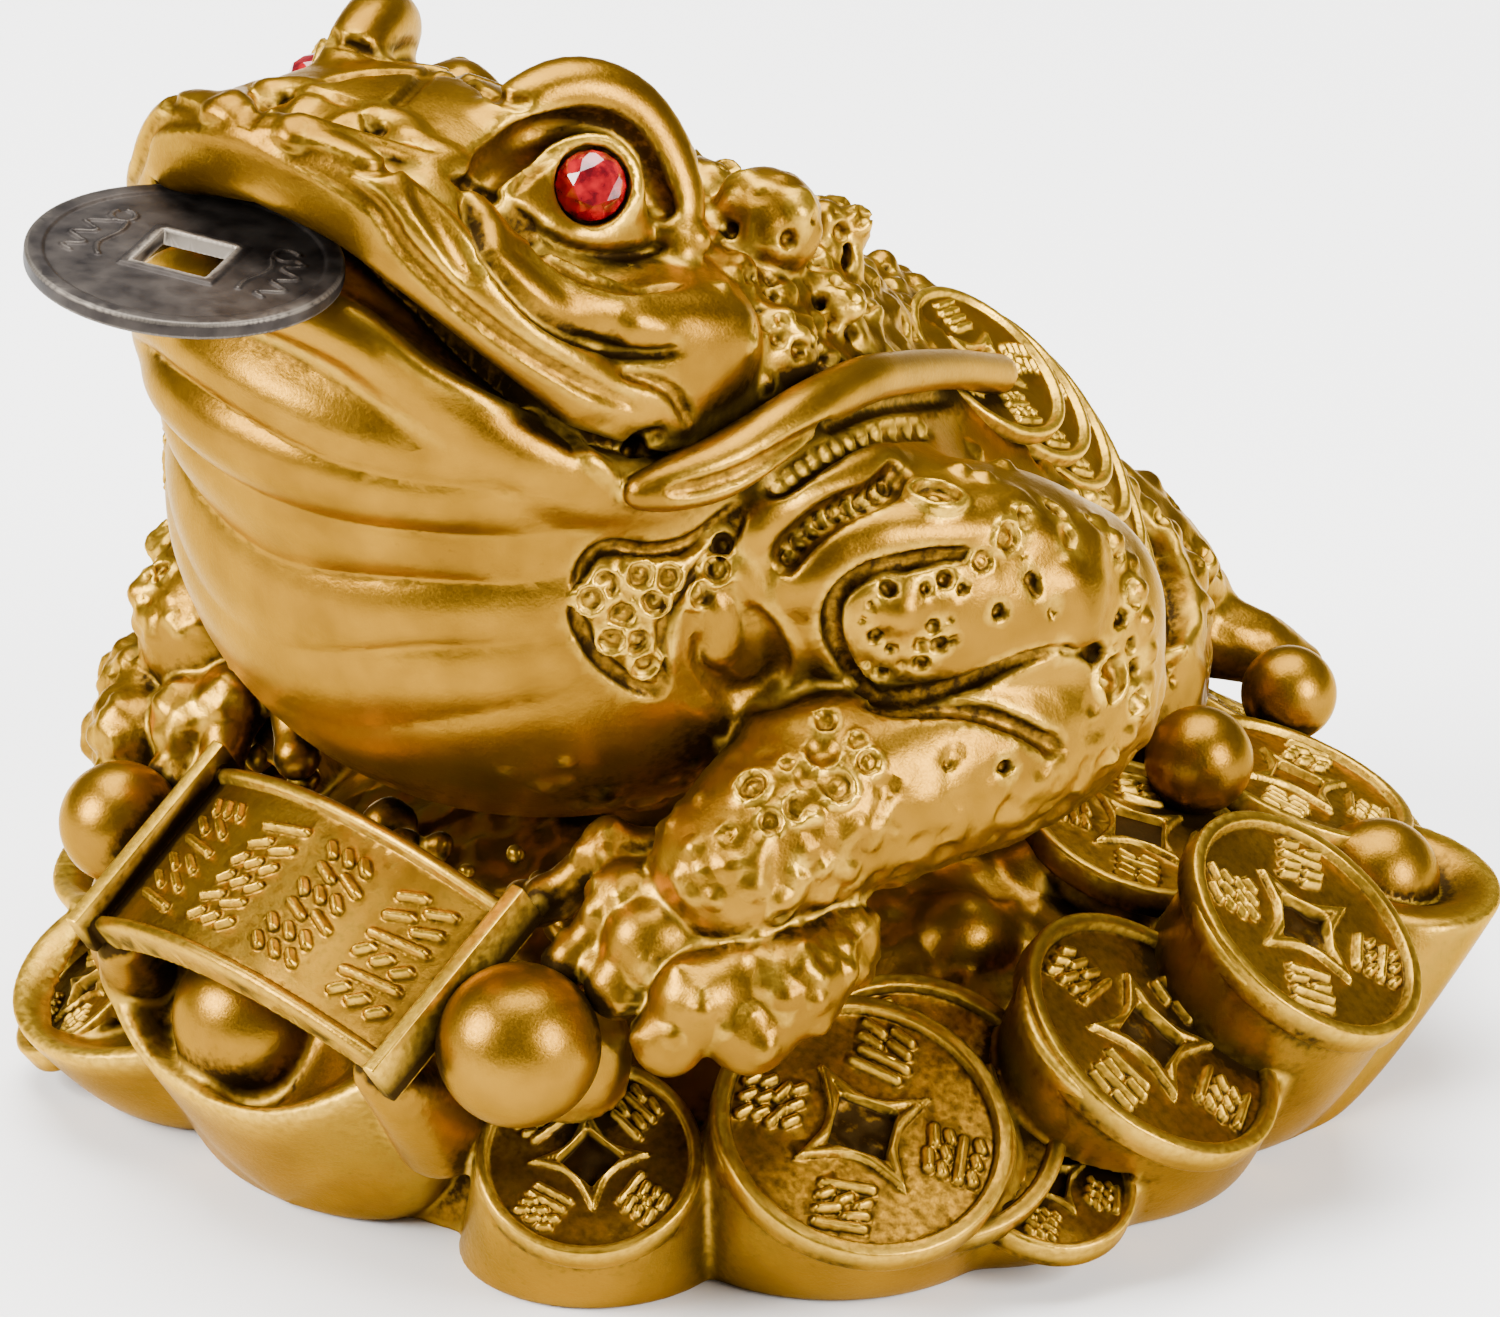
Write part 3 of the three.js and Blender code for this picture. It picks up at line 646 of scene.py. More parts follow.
# Bands and strips over the shoulder.
STRIP_UPPER_PX = [(770, 492), (786, 480), (806, 466), (828, 453), (850, 442), (876, 434), (905, 430),
                  (930, 432)]
STRIP_LOWER_PX = [(784, 566), (792, 548), (808, 532), (828, 517), (850, 506), (872, 498), (890, 484),
                  (898, 468)]
BAND_RIDGES_PX = {
    "between_strips": ([(752, 545), (765, 520), (800, 497), (835, 480), (866, 464), (900, 452)], 2.0, 0.9),
    "below_strips": ([(795, 602), (812, 574), (842, 550), (876, 532), (927, 524), (978, 520), (1030, 496)],
                     2.8, 1.1),
    "shoulder_front": ([(666, 668), (662, 640), (668, 612), (684, 590), (700, 575)], 1.1, 0.6),
    "shoulder_foot": ([(690, 704), (730, 722), (775, 722), (815, 712), (850, 702)], 1.6, 0.6),
    "boss_back": ([(738, 560), (752, 590), (776, 626), (794, 655), (790, 684)], 1.0, 0.5),
}
for path in BAND_RIDGES_PX.values():
    ridge(*path)
groove(STRIP_UPPER_PX, 1.0, 1.1)
groove(STRIP_LOWER_PX, 1.25, 1.3)
STRIP_BEADS_PX = [(789, 558), (797, 543), (808, 531), (820, 521), (833, 514), (846, 508), (859, 503),
                  (872, 497), (883, 488)]
eyelets(clay.seen(STRIP_BEADS_PX), 0.7)
STRIP_CRUMBS_PX = [(777, 486), (789, 478), (801, 470), (812, 462), (824, 455), (836, 449), (848, 443),
                   (861, 438), (875, 434), (890, 431), (905, 430), (920, 431)]
beads(clay.seen(STRIP_CRUMBS_PX), 0.62, 0.9)
SPIRAL_PX = [(936, 496)]
eyelets(clay.seen(SPIRAL_PX), 1.8)
SPIRAL_BEADS_PX = [(960, 470), (985, 478), (1003, 466), (975, 452)]
beads(clay.seen(SPIRAL_BEADS_PX), 1.0, 0.6)

# The boss before the shoulder, and the patch of scales between it and the throat.
BOSS_HOLLOW_PX = [(698, 636), (708, 668), (732, 690), (762, 686), (780, 664), (770, 634), (750, 606)]
BOSS_TONGUE_PX = [(716, 604), (722, 622), (726, 642), (722, 658)]
groove(BOSS_HOLLOW_PX, 1.1, 0.7)
ridge(BOSS_TONGUE_PX, 1.8, 0.7, 0.3)
PATCH_LINES_PX = {
    "throat_side": [(572, 606), (584, 634), (600, 660), (628, 682), (658, 696)],
    "shoulder_side": [(662, 694), (660, 662), (664, 630), (676, 602), (700, 574), (722, 546), (742, 512)],
    "cord_side": [(574, 592), (590, 560), (612, 548), (645, 552), (680, 548), (712, 530), (740, 503)],
}
for path in PATCH_LINES_PX.values():
    groove(path, 0.7, 0.9)
PATCH_EYELETS_PX = [(622, 615), (655, 601), (637, 641), (606, 584), (700, 594), (717, 570), (668, 578),
                    (722, 546), (590, 600), (645, 665), (640, 575), (612, 640)]
eyelets(clay.seen(PATCH_EYELETS_PX), 1.0)

# The panel on the upper arm, with its rings and pits.
PANEL_LINES_PX = {
    "border": [(1060, 650), (1024, 662), (988, 676), (950, 688), (903, 694), (868, 690), (846, 668),
               (832, 636), (834, 606), (850, 584), (876, 570), (908, 563), (940, 557), (974, 553)],
    "bend": [(866, 704), (905, 706), (953, 707), (999, 718), (1035, 735), (1066, 750)],
    "elbow": [(1062, 646), (1090, 650), (1110, 668)],
}
for path in PANEL_LINES_PX.values():
    groove(path, 0.8, 1.2)
PANEL_KNOB_PX = [(902, 614)]
beads(clay.seen(PANEL_KNOB_PX), 2.1, 0.35)
PANEL_PITS_PX = [(889, 588), (872, 604), (927, 588), (876, 638), (900, 578), (946, 579), (963, 588),
                 (866, 665), (880, 674), (902, 665), (921, 646), (934, 627), (950, 620), (940, 646),
                 (955, 640), (890, 650), (921, 665), (862, 620), (1033, 579), (1036, 590), (1052, 612),
                 (1124, 617), (1058, 600), (1119, 622), (1132, 646), (1116, 648), (1135, 668), (1147, 655),
                 (949, 765), (1006, 767), (1025, 555), (1000, 612), (803, 863), (1080, 560), (1075, 640)]
panel_pits = clay.seen(PANEL_PITS_PX)
pits(panel_pits, 0.5 + 0.22 * np.cos(np.arange(len(panel_pits)) * 2.4), 1.45)
ELBOW_RINGS_PX = [(982, 561), (1007, 537), (1062, 537), (1053, 512), (1113, 550), (1132, 595), (1110, 678),
                  (1024, 520), (1089, 526), (822, 755), (858, 742), (838, 787), (797, 808), (728, 833),
                  (781, 911), (868, 762), (787, 766), (752, 786), (826, 722), (806, 778), (770, 822),
                  (1135, 700)]
ELBOW_RING_SIZES = [0.8, 1.1, 1.2, 1.0, 1.1, 1.1, 1.5, 1.0, 0.9, 1.1, 0.7, 1.2, 1.0, 0.6, 0.8, 0.9, 0.6, 1.1,
                    0.8, 0.7, 0.9, 1.1]
for place, size in zip(ELBOW_RINGS_PX, ELBOW_RING_SIZES):
    eyelets(clay.seen([place]), size)
ELBOW_KNOBS_PX = [(1094, 588), (1074, 583), (1040, 535), (1085, 620), (1090, 545)]
beads(clay.seen(ELBOW_KNOBS_PX), 2.4, 0.3, 1.0)
ELBOW_EDGE_PX = [(1100, 524), (1116, 540), (1131, 562), (1140, 590), (1147, 622), (1149, 652), (1147, 682),
                 (1139, 710), (1126, 735), (1108, 757)]
beads(clay.seen(ELBOW_EDGE_PX), 1.0, 0.6)


def forearm_grit(x, y, z):
    where = np.clip((45 - z) / 5, 0, 1) * np.clip((z - 28) / 3, 0, 1) * np.clip((np.abs(x) - 25) / 2, 0, 1)
    return where * 0.42 * np.abs(grain(x, y, z, 1.5, 11))


clay.raise_by((25, -34, 28), (44, 8, 45), forearm_grit)
clay.raise_by((-44, -34, 28), (-25, 14, 45), forearm_grit)
hand_spots = strewn((14, -47, 24), (41, -27, 41), 220, 12, lambda x, y, z: z > 25)
beads(hand_spots, np.linspace(0.5, 1.1, len(hand_spots)), 0.5, 0.5)
forearm_dents = strewn((26, -36, 30), (44, 2, 44), 150, 14, lambda x, y, z: x > 27)
pits(forearm_dents, np.linspace(0.6, 1.3, len(forearm_dents)), 0.35, 0.4)


# The cords to the strings of coins.
# A smooth cord is cast on each side: it hooks round the corner of the mouth, runs along the neck above
# the shoulder and ends on the first coin of the string. The hide is cut back to the faces of the coins.
def aimed(facing, spin=0.0):
    """The three axes of a round piece that faces along a direction, after a spin about it."""
    turn = np.array(Vector((0, 0, 1)).rotation_difference(Vector(facing).normalized()).to_matrix())
    angle = math.radians(spin)
    flat = [[math.cos(angle), -math.sin(angle), 0], [math.sin(angle), math.cos(angle), 0], [0, 0, 1]]
    return turn @ np.array(flat)


def disc_shape(beyond_side, beyond_face, rounding=0.0):
    """The distance to a disc, from those to its side and its faces, with its edges rounded off."""
    a, b = beyond_side + rounding, beyond_face + rounding
    return np.minimum(np.maximum(a, b), 0) + np.sqrt(np.maximum(a, 0) ** 2 + np.maximum(b, 0) ** 2) - rounding


def puck(face_centre, axes, radius, thick):
    """A plain disc whose face has its centre at a point."""
    facing = axes[:, 2]
    middle = np.array(face_centre, float) - facing * thick / 2
    spread = radius * np.sqrt(np.clip(1 - facing ** 2, 0, 1)) + abs(facing) * thick / 2

    def depth(x, y, z):
        x, y, z = x - middle[0], y - middle[1], z - middle[2]
        along = x * facing[0] + y * facing[1] + z * facing[2]
        wide = np.sqrt(np.maximum(x * x + y * y + z * z - along ** 2, 0))
        return disc_shape(wide - radius, np.abs(along) - thick / 2)

    return middle - spread, middle + spread, depth


STRING_COINS, STRING_RADIUS, STRING_THICK, STRING_CLEARED = 7, 7.3, 1.6, 3.5


def string_place(way, side):
    place = ((15.1 + 0.9 * way) * side, 9.8 + 22 * way - 6 * way ** 2, 56.4 - 16 * way - 5.5 * way ** 2)
    facing = Vector(((0.56 + 0.18 * way) * side, 0.29 + 0.29 * way, 0.78 - 0.4 * way)).normalized()
    return np.array(place), np.array(facing)


spots = [string_place(i / (STRING_COINS - 1), side) for side in (1, -1) for i in range(STRING_COINS)]
for place, facing in spots:
    clay.cut(puck(place + facing * STRING_CLEARED, aimed(facing), STRING_RADIUS, STRING_CLEARED), 0.8)

CORD = [(24.2, -39, 64.8, 1.4), (25.4, -37, 65.1, 2.0), (26.7, -33.5, 65.6, 2.3), (27.3, -28.6, 66.7, 2.15),
        (27, -24, 67.2, 1.95), (25.4, -16.8, 66.3, 1.8), (23.2, -9.8, 64, 1.65), (20.2, -0.8, 60.5, 1.5),
        (17.4, 8, 56.4, 1.5)]
for side in SIDES:
    clay.add(side(roll(CORD)), 0.5)
CORD_HOOK_PX = [(628, 456), (640, 441), (662, 436)]
groove(CORD_HOOK_PX, 0.8, 0.9)
UNDER_CORD_PX = [(668, 492), (704, 487), (745, 473), (784, 452), (824, 430), (868, 410), (906, 402),
                 (950, 399)]
groove(UNDER_CORD_PX, 0.8, 0.8)


# The heap of ingots.
# Cast in one with the toad: a low mound ringed by boat-shaped ingots, one full-size in front and one
# standing up behind, with grit between them.
def on_heap(bearing_degrees, reach, height):
    """A place at a bearing from the front (-Y) towards the toad's left (+X)."""
    turn = math.radians(bearing_degrees)
    return np.array((reach * math.sin(turn), -reach * math.cos(turn), height))


BOWL_SHARE = 0.86  # height of a bowl's floor as a share of the rim above it


def ingot(bearing_degrees, reach, foot, length, width, tip, rim, dome):
    """Rim raised to two tips along its length, drawn in below to a foot with its own bearing and reach."""
    turn = math.radians(bearing_degrees)
    x0, y0, _ = on_heap(bearing_degrees, reach, 0)
    x1, y1, _ = on_heap(*foot, 0)
    half_length, half_width = length / 2, width / 2

    def depth(x, y, z):
        def placed(x_middle, y_middle):
            along = ((x - x_middle) * math.cos(turn) + (y - y_middle) * math.sin(turn)) / half_length
            return along, ((x - x_middle) * math.sin(turn) - (y - y_middle) * math.cos(turn)) / half_width

        along, over = placed(x0, y0)
        centred = np.sqrt(along ** 2 + over ** 2) + 1e-6
        edge = rim + (tip - rim) * np.abs(along / centred) ** 2.5
        rise = np.clip(z / edge, 0, 1)
        slid_along, slid_over = placed(x1 + (x0 - x1) * rise, y1 + (y0 - y1) * rise)
        rise = rise ** 0.6
        full = np.sqrt((slid_along / (0.56 + 0.44 * rise)) ** 2 + (slid_over / (0.64 + 0.36 * rise)) ** 2)
        sides = (full - 1) * half_width * 0.8
        bowl = np.clip((centred - 0.6) / 0.3, 0, 1)
        floor = BOWL_SHARE * edge
        top = floor + (edge - floor) * bowl * bowl * (3 - 2 * bowl)
        mound = floor + (dome - floor) * np.sqrt(np.clip(1 - (centred / 0.6) ** 2, 0, 1))
        top = np.where(dome > floor, np.maximum(top, mound), top)
        return -melt(-sides, -(z - top) * 0.75, 1.0)

    spread = max(half_length, half_width)
    low = np.minimum((x0, y0), (x1, y1)) - spread
    high = np.maximum((x0, y0), (x1, y1)) + spread
    return (*low, 0), (*high, max(tip, dome)), depth


def skirt(face_centre, axes, radius, foot):
    """The side of the heap under a leaning disc, from a round foot on the ground up to the disc."""
    x1, y1, _ = on_heap(*foot[:2], 0)
    facing = axes[:, 2]
    x0, y0, z0 = face_centre

    def depth(x, y, z):
        rise = np.clip(z / z0, 0, 3) ** 0.8
        wide = np.sqrt((x - x1 - (x0 - x1) * rise) ** 2 + (y - y1 - (y0 - y1) * rise) ** 2)
        side = (wide - foot[2] - (radius - foot[2]) * rise) * 0.75
        above = (x - x0) * facing[0] + (y - y0) * facing[1] + (z - z0) * facing[2]
        return -melt(-side, -above, 0.7)

    spread = max(radius, foot[2]) + 1
    low = np.minimum((x0, y0), (x1, y1)) - spread
    high = np.maximum((x0, y0), (x1, y1)) + spread
    return (*low, 0), (*high, z0 + radius), depth


def facing_out(bearing_degrees, rise):
    return on_heap(bearing_degrees, math.cos(math.radians(rise)), math.sin(math.radians(rise)))


heap = Clay((-58, -61, -1.2), (58.4, 57.5, 40), CLAY_STEP)
heap.add(lump((0, 0, 0), (42, 41, 24)), 0.8)
heap.add(lump((16.5, -39, 17), (5, 4.6, 7)), 1.0)
heap.add(lump((-20, -41, 17), (7.5, 7, 8)), 1.0)
for bearing_degrees in (150, 180, -146, -115, -85, -60):
    heap.add(ingot(bearing_degrees, 42, (bearing_degrees, 37.5), 31, 25, 12.5, 9.5, 11.5), 0.6)
heap.add(ingot(-33, 45, (-35, 41.5), 29, 25, 11, 8, 0), 0.6)
heap.add(ingot(-7, 46, (-12, 40), 37, 18, 20, 12.5, 0), 0.5)
heap.add(ball((-7.2, -46.8, 15.6), 6.2), 1.8)
for horn in ([(10.5, -46, 12, 3.6), (12.4, -51.5, 17.5, 2.8), (12.6, -54.6, 20.6, 2)],
             [(-20, -43, 12, 3.6), (-17.6, -48.5, 17.5, 2.8), (-16, -51.6, 20.6, 2)]):
    heap.add(roll(horn), 1.0)

# The bow of the ingot at the left end, with the hollow and the dome that show inside it.
BOW_TOP, BOW_AXES = on_heap(128, 49.5, 14.5), aimed(facing_out(128, 80))
heap.add(skirt(BOW_TOP, BOW_AXES, 8.6, (115, 36, 11)), 0.8)
heap.cut(ball(BOW_TOP + BOW_AXES[:, 2] * 6.5, 8.6), 0.8)
heap.add(ball(on_heap(128, 47.6, 13.6), 4.6), 0.4)

# Small stones lie in the angle between the belly and the heap.
draw = np.random.default_rng(41)
for bearing_degrees in np.linspace(-44, 46, 30):
    place = on_heap(bearing_degrees, draw.uniform(33.5, 39), draw.uniform(25.6, 29.2))
    heap.add(ball(place, draw.uniform(0.9, 1.9)), 1.0)
GRIT_TOP = 32


def heap_grit(x, y, z):
    ring = np.sqrt(x ** 2 + y ** 2)
    where = np.clip((GRIT_TOP - z) / 4, 0, 1) * np.clip((46 - ring) / 3, 0, 1) * np.clip((z - 14) / 3, 0, 1)
    return where * (0.55 * grain(x, y, z, 2.2, 5) + 0.4 * grain(x, y, z, 1.1, 6))


heap.raise_by((-50, -50, 12), (50, 50, 31), heap_grit)

# Larger stones lie half buried under the forearms.
STONES_PX = [(1028, 862), (958, 922)]
for spot, radius in zip(heap.seen(STONES_PX), (3.2, 4.2)):
    for way in ((1, 1, 1), (-1, 1, 1)):
        heap.add(ball(spot * way - (0, 0, 0.45 * radius), radius), 1.2)


# Where the cash coins lean on the heap: bearing, reach and height of the face; bearing and rise that it
# faces; radius and spin; bearing, reach and radius of the foot of the heap's side below, if it has one.
HEAP_COINS = [
    (27, 47, 12, 40, 57, 8.3, 0, (24, 38.5, 10)),
    (52, 45.2, 14, 64, 57, 11.2, 32, (52, 33, 13)),
    (58.6, 42.2, 13.4, 66, 54, 11.2, 70, None),
    (83, 44.8, 16, 107, 53, 11.2, 22, (90, 33, 12)),
    (102, 47.5, 20, 108, 52, 10.5, 49, (110, 34, 11)),
    (114, 30.7, 21.2, 110, 72, 9, 40, None),
    (138, 42, 18.6, 140, 68, 9.5, 30, None),
    (70, 46, 7.6, 72, 62, 6.6, 35, (72, 33, 12)),
    (-38, 51, 8, -45, 50, 7, 25, (-38, 40, 6)),
    (-70, 45.5, 14.5, -70, 54, 10.6, 12, (-70, 33, 12)),
    (-100, 45.5, 14.5, -100, 54, 10.6, 48, (-100, 33, 12)),
    (-130, 45.5, 14.5, -130, 54, 10.6, 30, (-130, 33, 12)),
    (-160, 45.5, 14.5, -160, 54, 10.6, 70, (-160, 33, 12)),
    (165, 45.5, 14.5, 165, 54, 10.6, 20, (165, 33, 12)),
]
COIN_THICKNESS, RIM_ABOVE_SKIRT = 2.4, 0.45
coins = []
for coin_bearing, reach, height, face_bearing, rise, radius, spin, foot in HEAP_COINS:
    axes = aimed(facing_out(face_bearing, rise), spin)
    centre = on_heap(coin_bearing, reach, height)
    coins.append((centre, axes, radius, COIN_THICKNESS))
    if foot:
        heap.add(skirt(centre - axes[:, 2] * RIM_ABOVE_SKIRT, axes, radius + 0.1, foot), 0.8)
        heap.cut(puck(centre + axes[:, 2], axes, radius - 0.5, 1 + COIN_THICKNESS - 0.4))
    else:
        heap.add(puck(centre - axes[:, 2] * 0.9, axes, radius - 0.5, COIN_THICKNESS - 0.9), 1.2)
        heap.add(puck(centre - axes[:, 2] * COIN_THICKNESS, axes, radius - 2.2, 3.5), 1.8)

# The slot for the loose coin and the sockets for the stones are cut, and the floor is sanded flat.
COIN_CENTRE, COIN_FACING = np.array((-2, -58.2, 81.35)), unit((0.088, 0.024, 1))
COIN_RADIUS, COIN_THICK, COIN_GAP = 11.4, 1.3, 0.3
clay.cut(puck(COIN_CENTRE + COIN_FACING * (COIN_THICK / 2 + COIN_GAP), aimed(COIN_FACING),
              COIN_RADIUS + COIN_GAP, COIN_THICK + 2 * COIN_GAP), 0.2)
SOCKET_RADIUS, SOCKET_PROUD = 3.6, 1.1
for mirror in (1, -1):
    way = np.array((mirror, 1, 1))
    seat, facing = EYE_SEAT * way, EYE_FACING * way
    clay.add(puck(seat + facing * SOCKET_PROUD, aimed(facing), SOCKET_RADIUS, 3.2), 1.0)
    clay.cut(puck(seat + facing * 4, aimed(facing), STONE_RADIUS + STONE_GAP, 4 + STONE_GAP), 0.2)
FLOOR = 0.05
heap.skin = np.maximum(heap.skin, (FLOOR - heap.lines()[2]).astype(np.float32))


# The casting's skin, in gold paint.
# Satin gold metal paint over the resin. The hollows are painted brown, as a wash and as painted shade, and
# the edges get a painted highlight; each piece carries both as attributes, how hollow and how near an edge it
# is.
GOLD_DEEP, GOLD_LIGHT = (0.152, 0.070, 0.0030, 1), (0.252, 0.123, 0.0060, 1)
# The deep brown is painted shade and brown wash for the hollows; the pale gold is a painted highlight for the
# edges.
SHADE_AND_WASH_BROWN, EDGE_HIGHLIGHT_GOLD = (0.016, 0.0075, 0.0015, 1), (0.54, 0.32, 0.026, 1)


def ranged(tree, value, low, high, to_low=0, to_high=1):
    """A value fitted from one range to another."""
    inputs = {"Value": value, "From Min": low, "From Max": high, "To Min": to_low, "To Max": to_high}
    return node(tree, "ShaderNodeMapRange", inputs, clamp=True).outputs["Result"]


def mixed(tree, amount, first, second):
    mix = node(tree, "ShaderNodeMix", {"Factor": amount, 6: first, 7: second}, data_type="RGBA")
    return mix.outputs[2]


def noise(tree, scale, detail=2):
    place = node(tree, "ShaderNodeTexCoord", {}).outputs["Object"]
    inputs = {"Vector": place, "Scale": scale, "Detail": detail}
    return node(tree, "ShaderNodeTexNoise", inputs).outputs["Fac"]


def gold_group():
    """Shared by all the gold pieces: colour and roughness from the painted shade in the hollows and the
    painted highlight on the edges, and a fine flake height.
    """
    group = bpy.data.node_groups.new("gold_with_painted_shade_and_highlight", "ShaderNodeTree")
    for name, way, kind in (("Hollow", "INPUT", "Float"), ("Rubbed", "INPUT", "Float"),
                            ("Color", "OUTPUT", "Color"), ("Roughness", "OUTPUT", "Float"),
                            ("Height", "OUTPUT", "Float")):
        group.interface.new_socket(name, in_out=way, socket_type="NodeSocket" + kind)
    given = group.nodes.new("NodeGroupInput").outputs

    def calculated(operation, first, second):
        return node(group, "ShaderNodeMath", {0: first, 1: second}, operation=operation).outputs[0]

    blotches, speckle, flakes = noise(group, 140, 3), noise(group, 1500, 4), noise(group, 5200, 2)
    gold = mixed(group, ranged(group, blotches, 0.35, 0.65), GOLD_DEEP, GOLD_LIGHT)
    # Painted shade with the brown wash: how hollow a place is, speckled, turns the gold to a deep brown.
    shade_wash_and_wear = calculated("ADD", given["Hollow"], ranged(group, speckle, 0.3, 0.7, -0.16, 0.16))
    shaded_and_washed = mixed(group, ranged(group, shade_wash_and_wear, 0.2, 0.6, 0, 0.97), gold, SHADE_AND_WASH_BROWN)
    # Painted highlight: the edges are lightened towards a pale gold.
    edges = ranged(group, given["Rubbed"], 0.12, 0.6)
    bright = calculated("MULTIPLY", edges, ranged(group, speckle, 0.3, 0.6, 0.4, 1))
    flake_dull = ranged(group, flakes, 0.3, 0.7, -0.05, 0.05)
    dull = calculated("ADD", ranged(group, shade_wash_and_wear, 0.2, 0.9, 0.33, 0.65), flake_dull)
    height = calculated("ADD", calculated("MULTIPLY", flakes, 0.5), speckle)
    painted = mixed(group, bright, shaded_and_washed, EDGE_HIGHLIGHT_GOLD)
    node(group, "NodeGroupOutput", {"Color": painted, "Roughness": dull, "Height": height})
    return group


gold, tree, shader = finish("gold_paint")
# The group paints shade with the brown wash into the hollows and a highlight onto the edges of the gold.
gold_shading = node(tree, "ShaderNodeGroup", {}, node_tree=gold_group())
for name in ("Hollow", "Rubbed"):
    source = node(tree, "ShaderNodeAttribute", {}, attribute_name=name.lower())
    wire(tree, gold_shading, {name: source.outputs["Fac"]})
bump = node(tree, "ShaderNodeBump", {"Strength": 0.22, "Distance": 0.00012, "Height": gold_shading.outputs["Height"]})
wire(tree, shader, {"Base Color": gold_shading.outputs["Color"], "Roughness": gold_shading.outputs["Roughness"],
                    "Metallic": 0.92, "Specular Tint": (1, 0.78, 0.42, 1), "Normal": bump.outputs["Normal"]})
gold_pieces = []  # each piece with its own clay, axes and centre, where it has them


def face_outwards(mesh):
    work = bmesh.new()
    work.from_mesh(mesh)
    if work.calc_volume(signed=True) < 0:
        mesh.flip_normals()
    work.free()


CRUMB = 60  # vertices of the smallest loose part that stays


def without_crumbs(mesh):
    """Takes the smallest loose parts off a mesh."""
    ends = np.empty(2 * len(mesh.edges), np.int32)
    mesh.edges.foreach_get("vertices", ends)
    first, second = ends.reshape(-1, 2).T
    label = np.arange(len(mesh.vertices))
    settled = False
    while not settled:
        lower = label.copy()
        np.minimum.at(lower, first, label[second])
        np.minimum.at(lower, second, label[first])
        lower = lower[lower]
        settled = bool((lower == label).all())
        label = lower
    sizes = np.bincount(label, minlength=len(label))
    work = bmesh.new()
    work.from_mesh(mesh)
    work.verts.ensure_lookup_table()
    crumbs = [work.verts[i] for i in np.flatnonzero(sizes[label] < CRUMB)]
    bmesh.ops.delete(work, geom=crumbs, context="VERTS")
    work.to_mesh(mesh)
    work.free()


def skinned(name, model, triangles, axes=None, centre=(0, 0, 0)):
    """A mesh in metres of a clay model's skin, thinned to so many triangles and set in its place."""
    band = 3 * model.step
    grid = openvdb.FloatGrid(band)
    grid.copyFromArray(np.clip(model.skin, -band, band), tolerance=0.0)
    points, threes, fours = grid.convertToPolygons(isovalue=0.0, adaptivity=0.0)
    places = model.low + points * model.step
    if axes is not None:
        places = places @ axes.T
    places = (places + np.array(centre)) / 1000
    faces = np.concatenate([fours.ravel(), threes.ravel()]).astype(np.int32)
    starts = np.concatenate([np.arange(len(fours)) * 4, 4 * len(fours) + np.arange(len(threes)) * 3])
    mesh = bpy.data.meshes.new(name)
    mesh.vertices.add(len(places))
    mesh.vertices.foreach_set("co", places.astype(np.float32).ravel())
    mesh.loops.add(len(faces))
    mesh.loops.foreach_set("vertex_index", faces)
    mesh.polygons.add(len(starts))
    mesh.polygons.foreach_set("loop_start", starts.astype(np.int32))
    mesh.update(calc_edges=True)
    piece = shown(name, mesh)
    whole = 2 * len(fours) + len(threes)
    if whole > triangles:
        thin = piece.modifiers.new("thin", "DECIMATE")
        thin.ratio = triangles / whole
        thinned = bpy.data.meshes.new_from_object(piece.evaluated_get(bpy.context.evaluated_depsgraph_get()))
        piece.modifiers.clear()
        piece.data = thinned
        bpy.data.meshes.remove(mesh)
        piece.data.name = name
    without_crumbs(piece.data)
    face_outwards(piece.data)
    piece.data.shade_smooth()
    return piece


def gilded(piece, own=None, axes=None, centre=(0, 0, 0)):
    """Gold paint on a piece of the casting."""
    piece.data.materials.clear()
    piece.data.materials.append(gold)
    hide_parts("toad_figure")
    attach(piece, "root")
    gold_pieces.append((piece, own, axes, centre))


gilded(skinned("toad", clay, 195000))
gilded(skinned("heap", heap, 170000))


# The cash coins of the heap.
# Cast with the heap: a rounded rim, a sunk field, a raised frame with hollow sides round a square pocket,
# and four groups of shallow strokes that are no letters.
def strokes(draw, width, height, rows=4):
    """Rows of short slanted strokes in a cell, as ends of lines."""
    lines = []
    pitch = height / rows
    slant = draw.uniform(0.15, 0.3) * pitch * draw.choice((-1, 1))
    for row in range(rows):
        y = height / 2 - (row + 0.5) * pitch
        marks = draw.integers(1, 4)
        ends = np.linspace(-width / 2, width / 2, marks + 1) + draw.uniform(-0.06, 0.06) * width
        for start, end in zip(ends[:-1], ends[1:]):
            gap = 0.09 * width
            lines.append((start + gap, y - slant, end - gap, y + slant))
    return lines


def stroke_height(x, y, lines, half_width):
    """1 on the lines, falling to 0 beside them."""
    nearest = np.full(np.broadcast(x, y).shape, 9.0, np.float32)
    for x0, y0, x1, y1 in lines:
        square = max((x1 - x0) ** 2 + (y1 - y0) ** 2, 1e-6)
        way = np.clip(((x - x0) * (x1 - x0) + (y - y0) * (y1 - y0)) / square, 0, 1)
        nearest = np.minimum(nearest, np.hypot(x - x0 - way * (x1 - x0), y - y0 - way * (y1 - y0)))
    return np.clip((half_width * 1.5 - nearest) / half_width, 0, 1)


COIN_SUNK = 0.07  # depth of the field as a share of the radius
ONE_LEVEL = np.zeros(1, np.float32)  # for a grain that is the same at every height


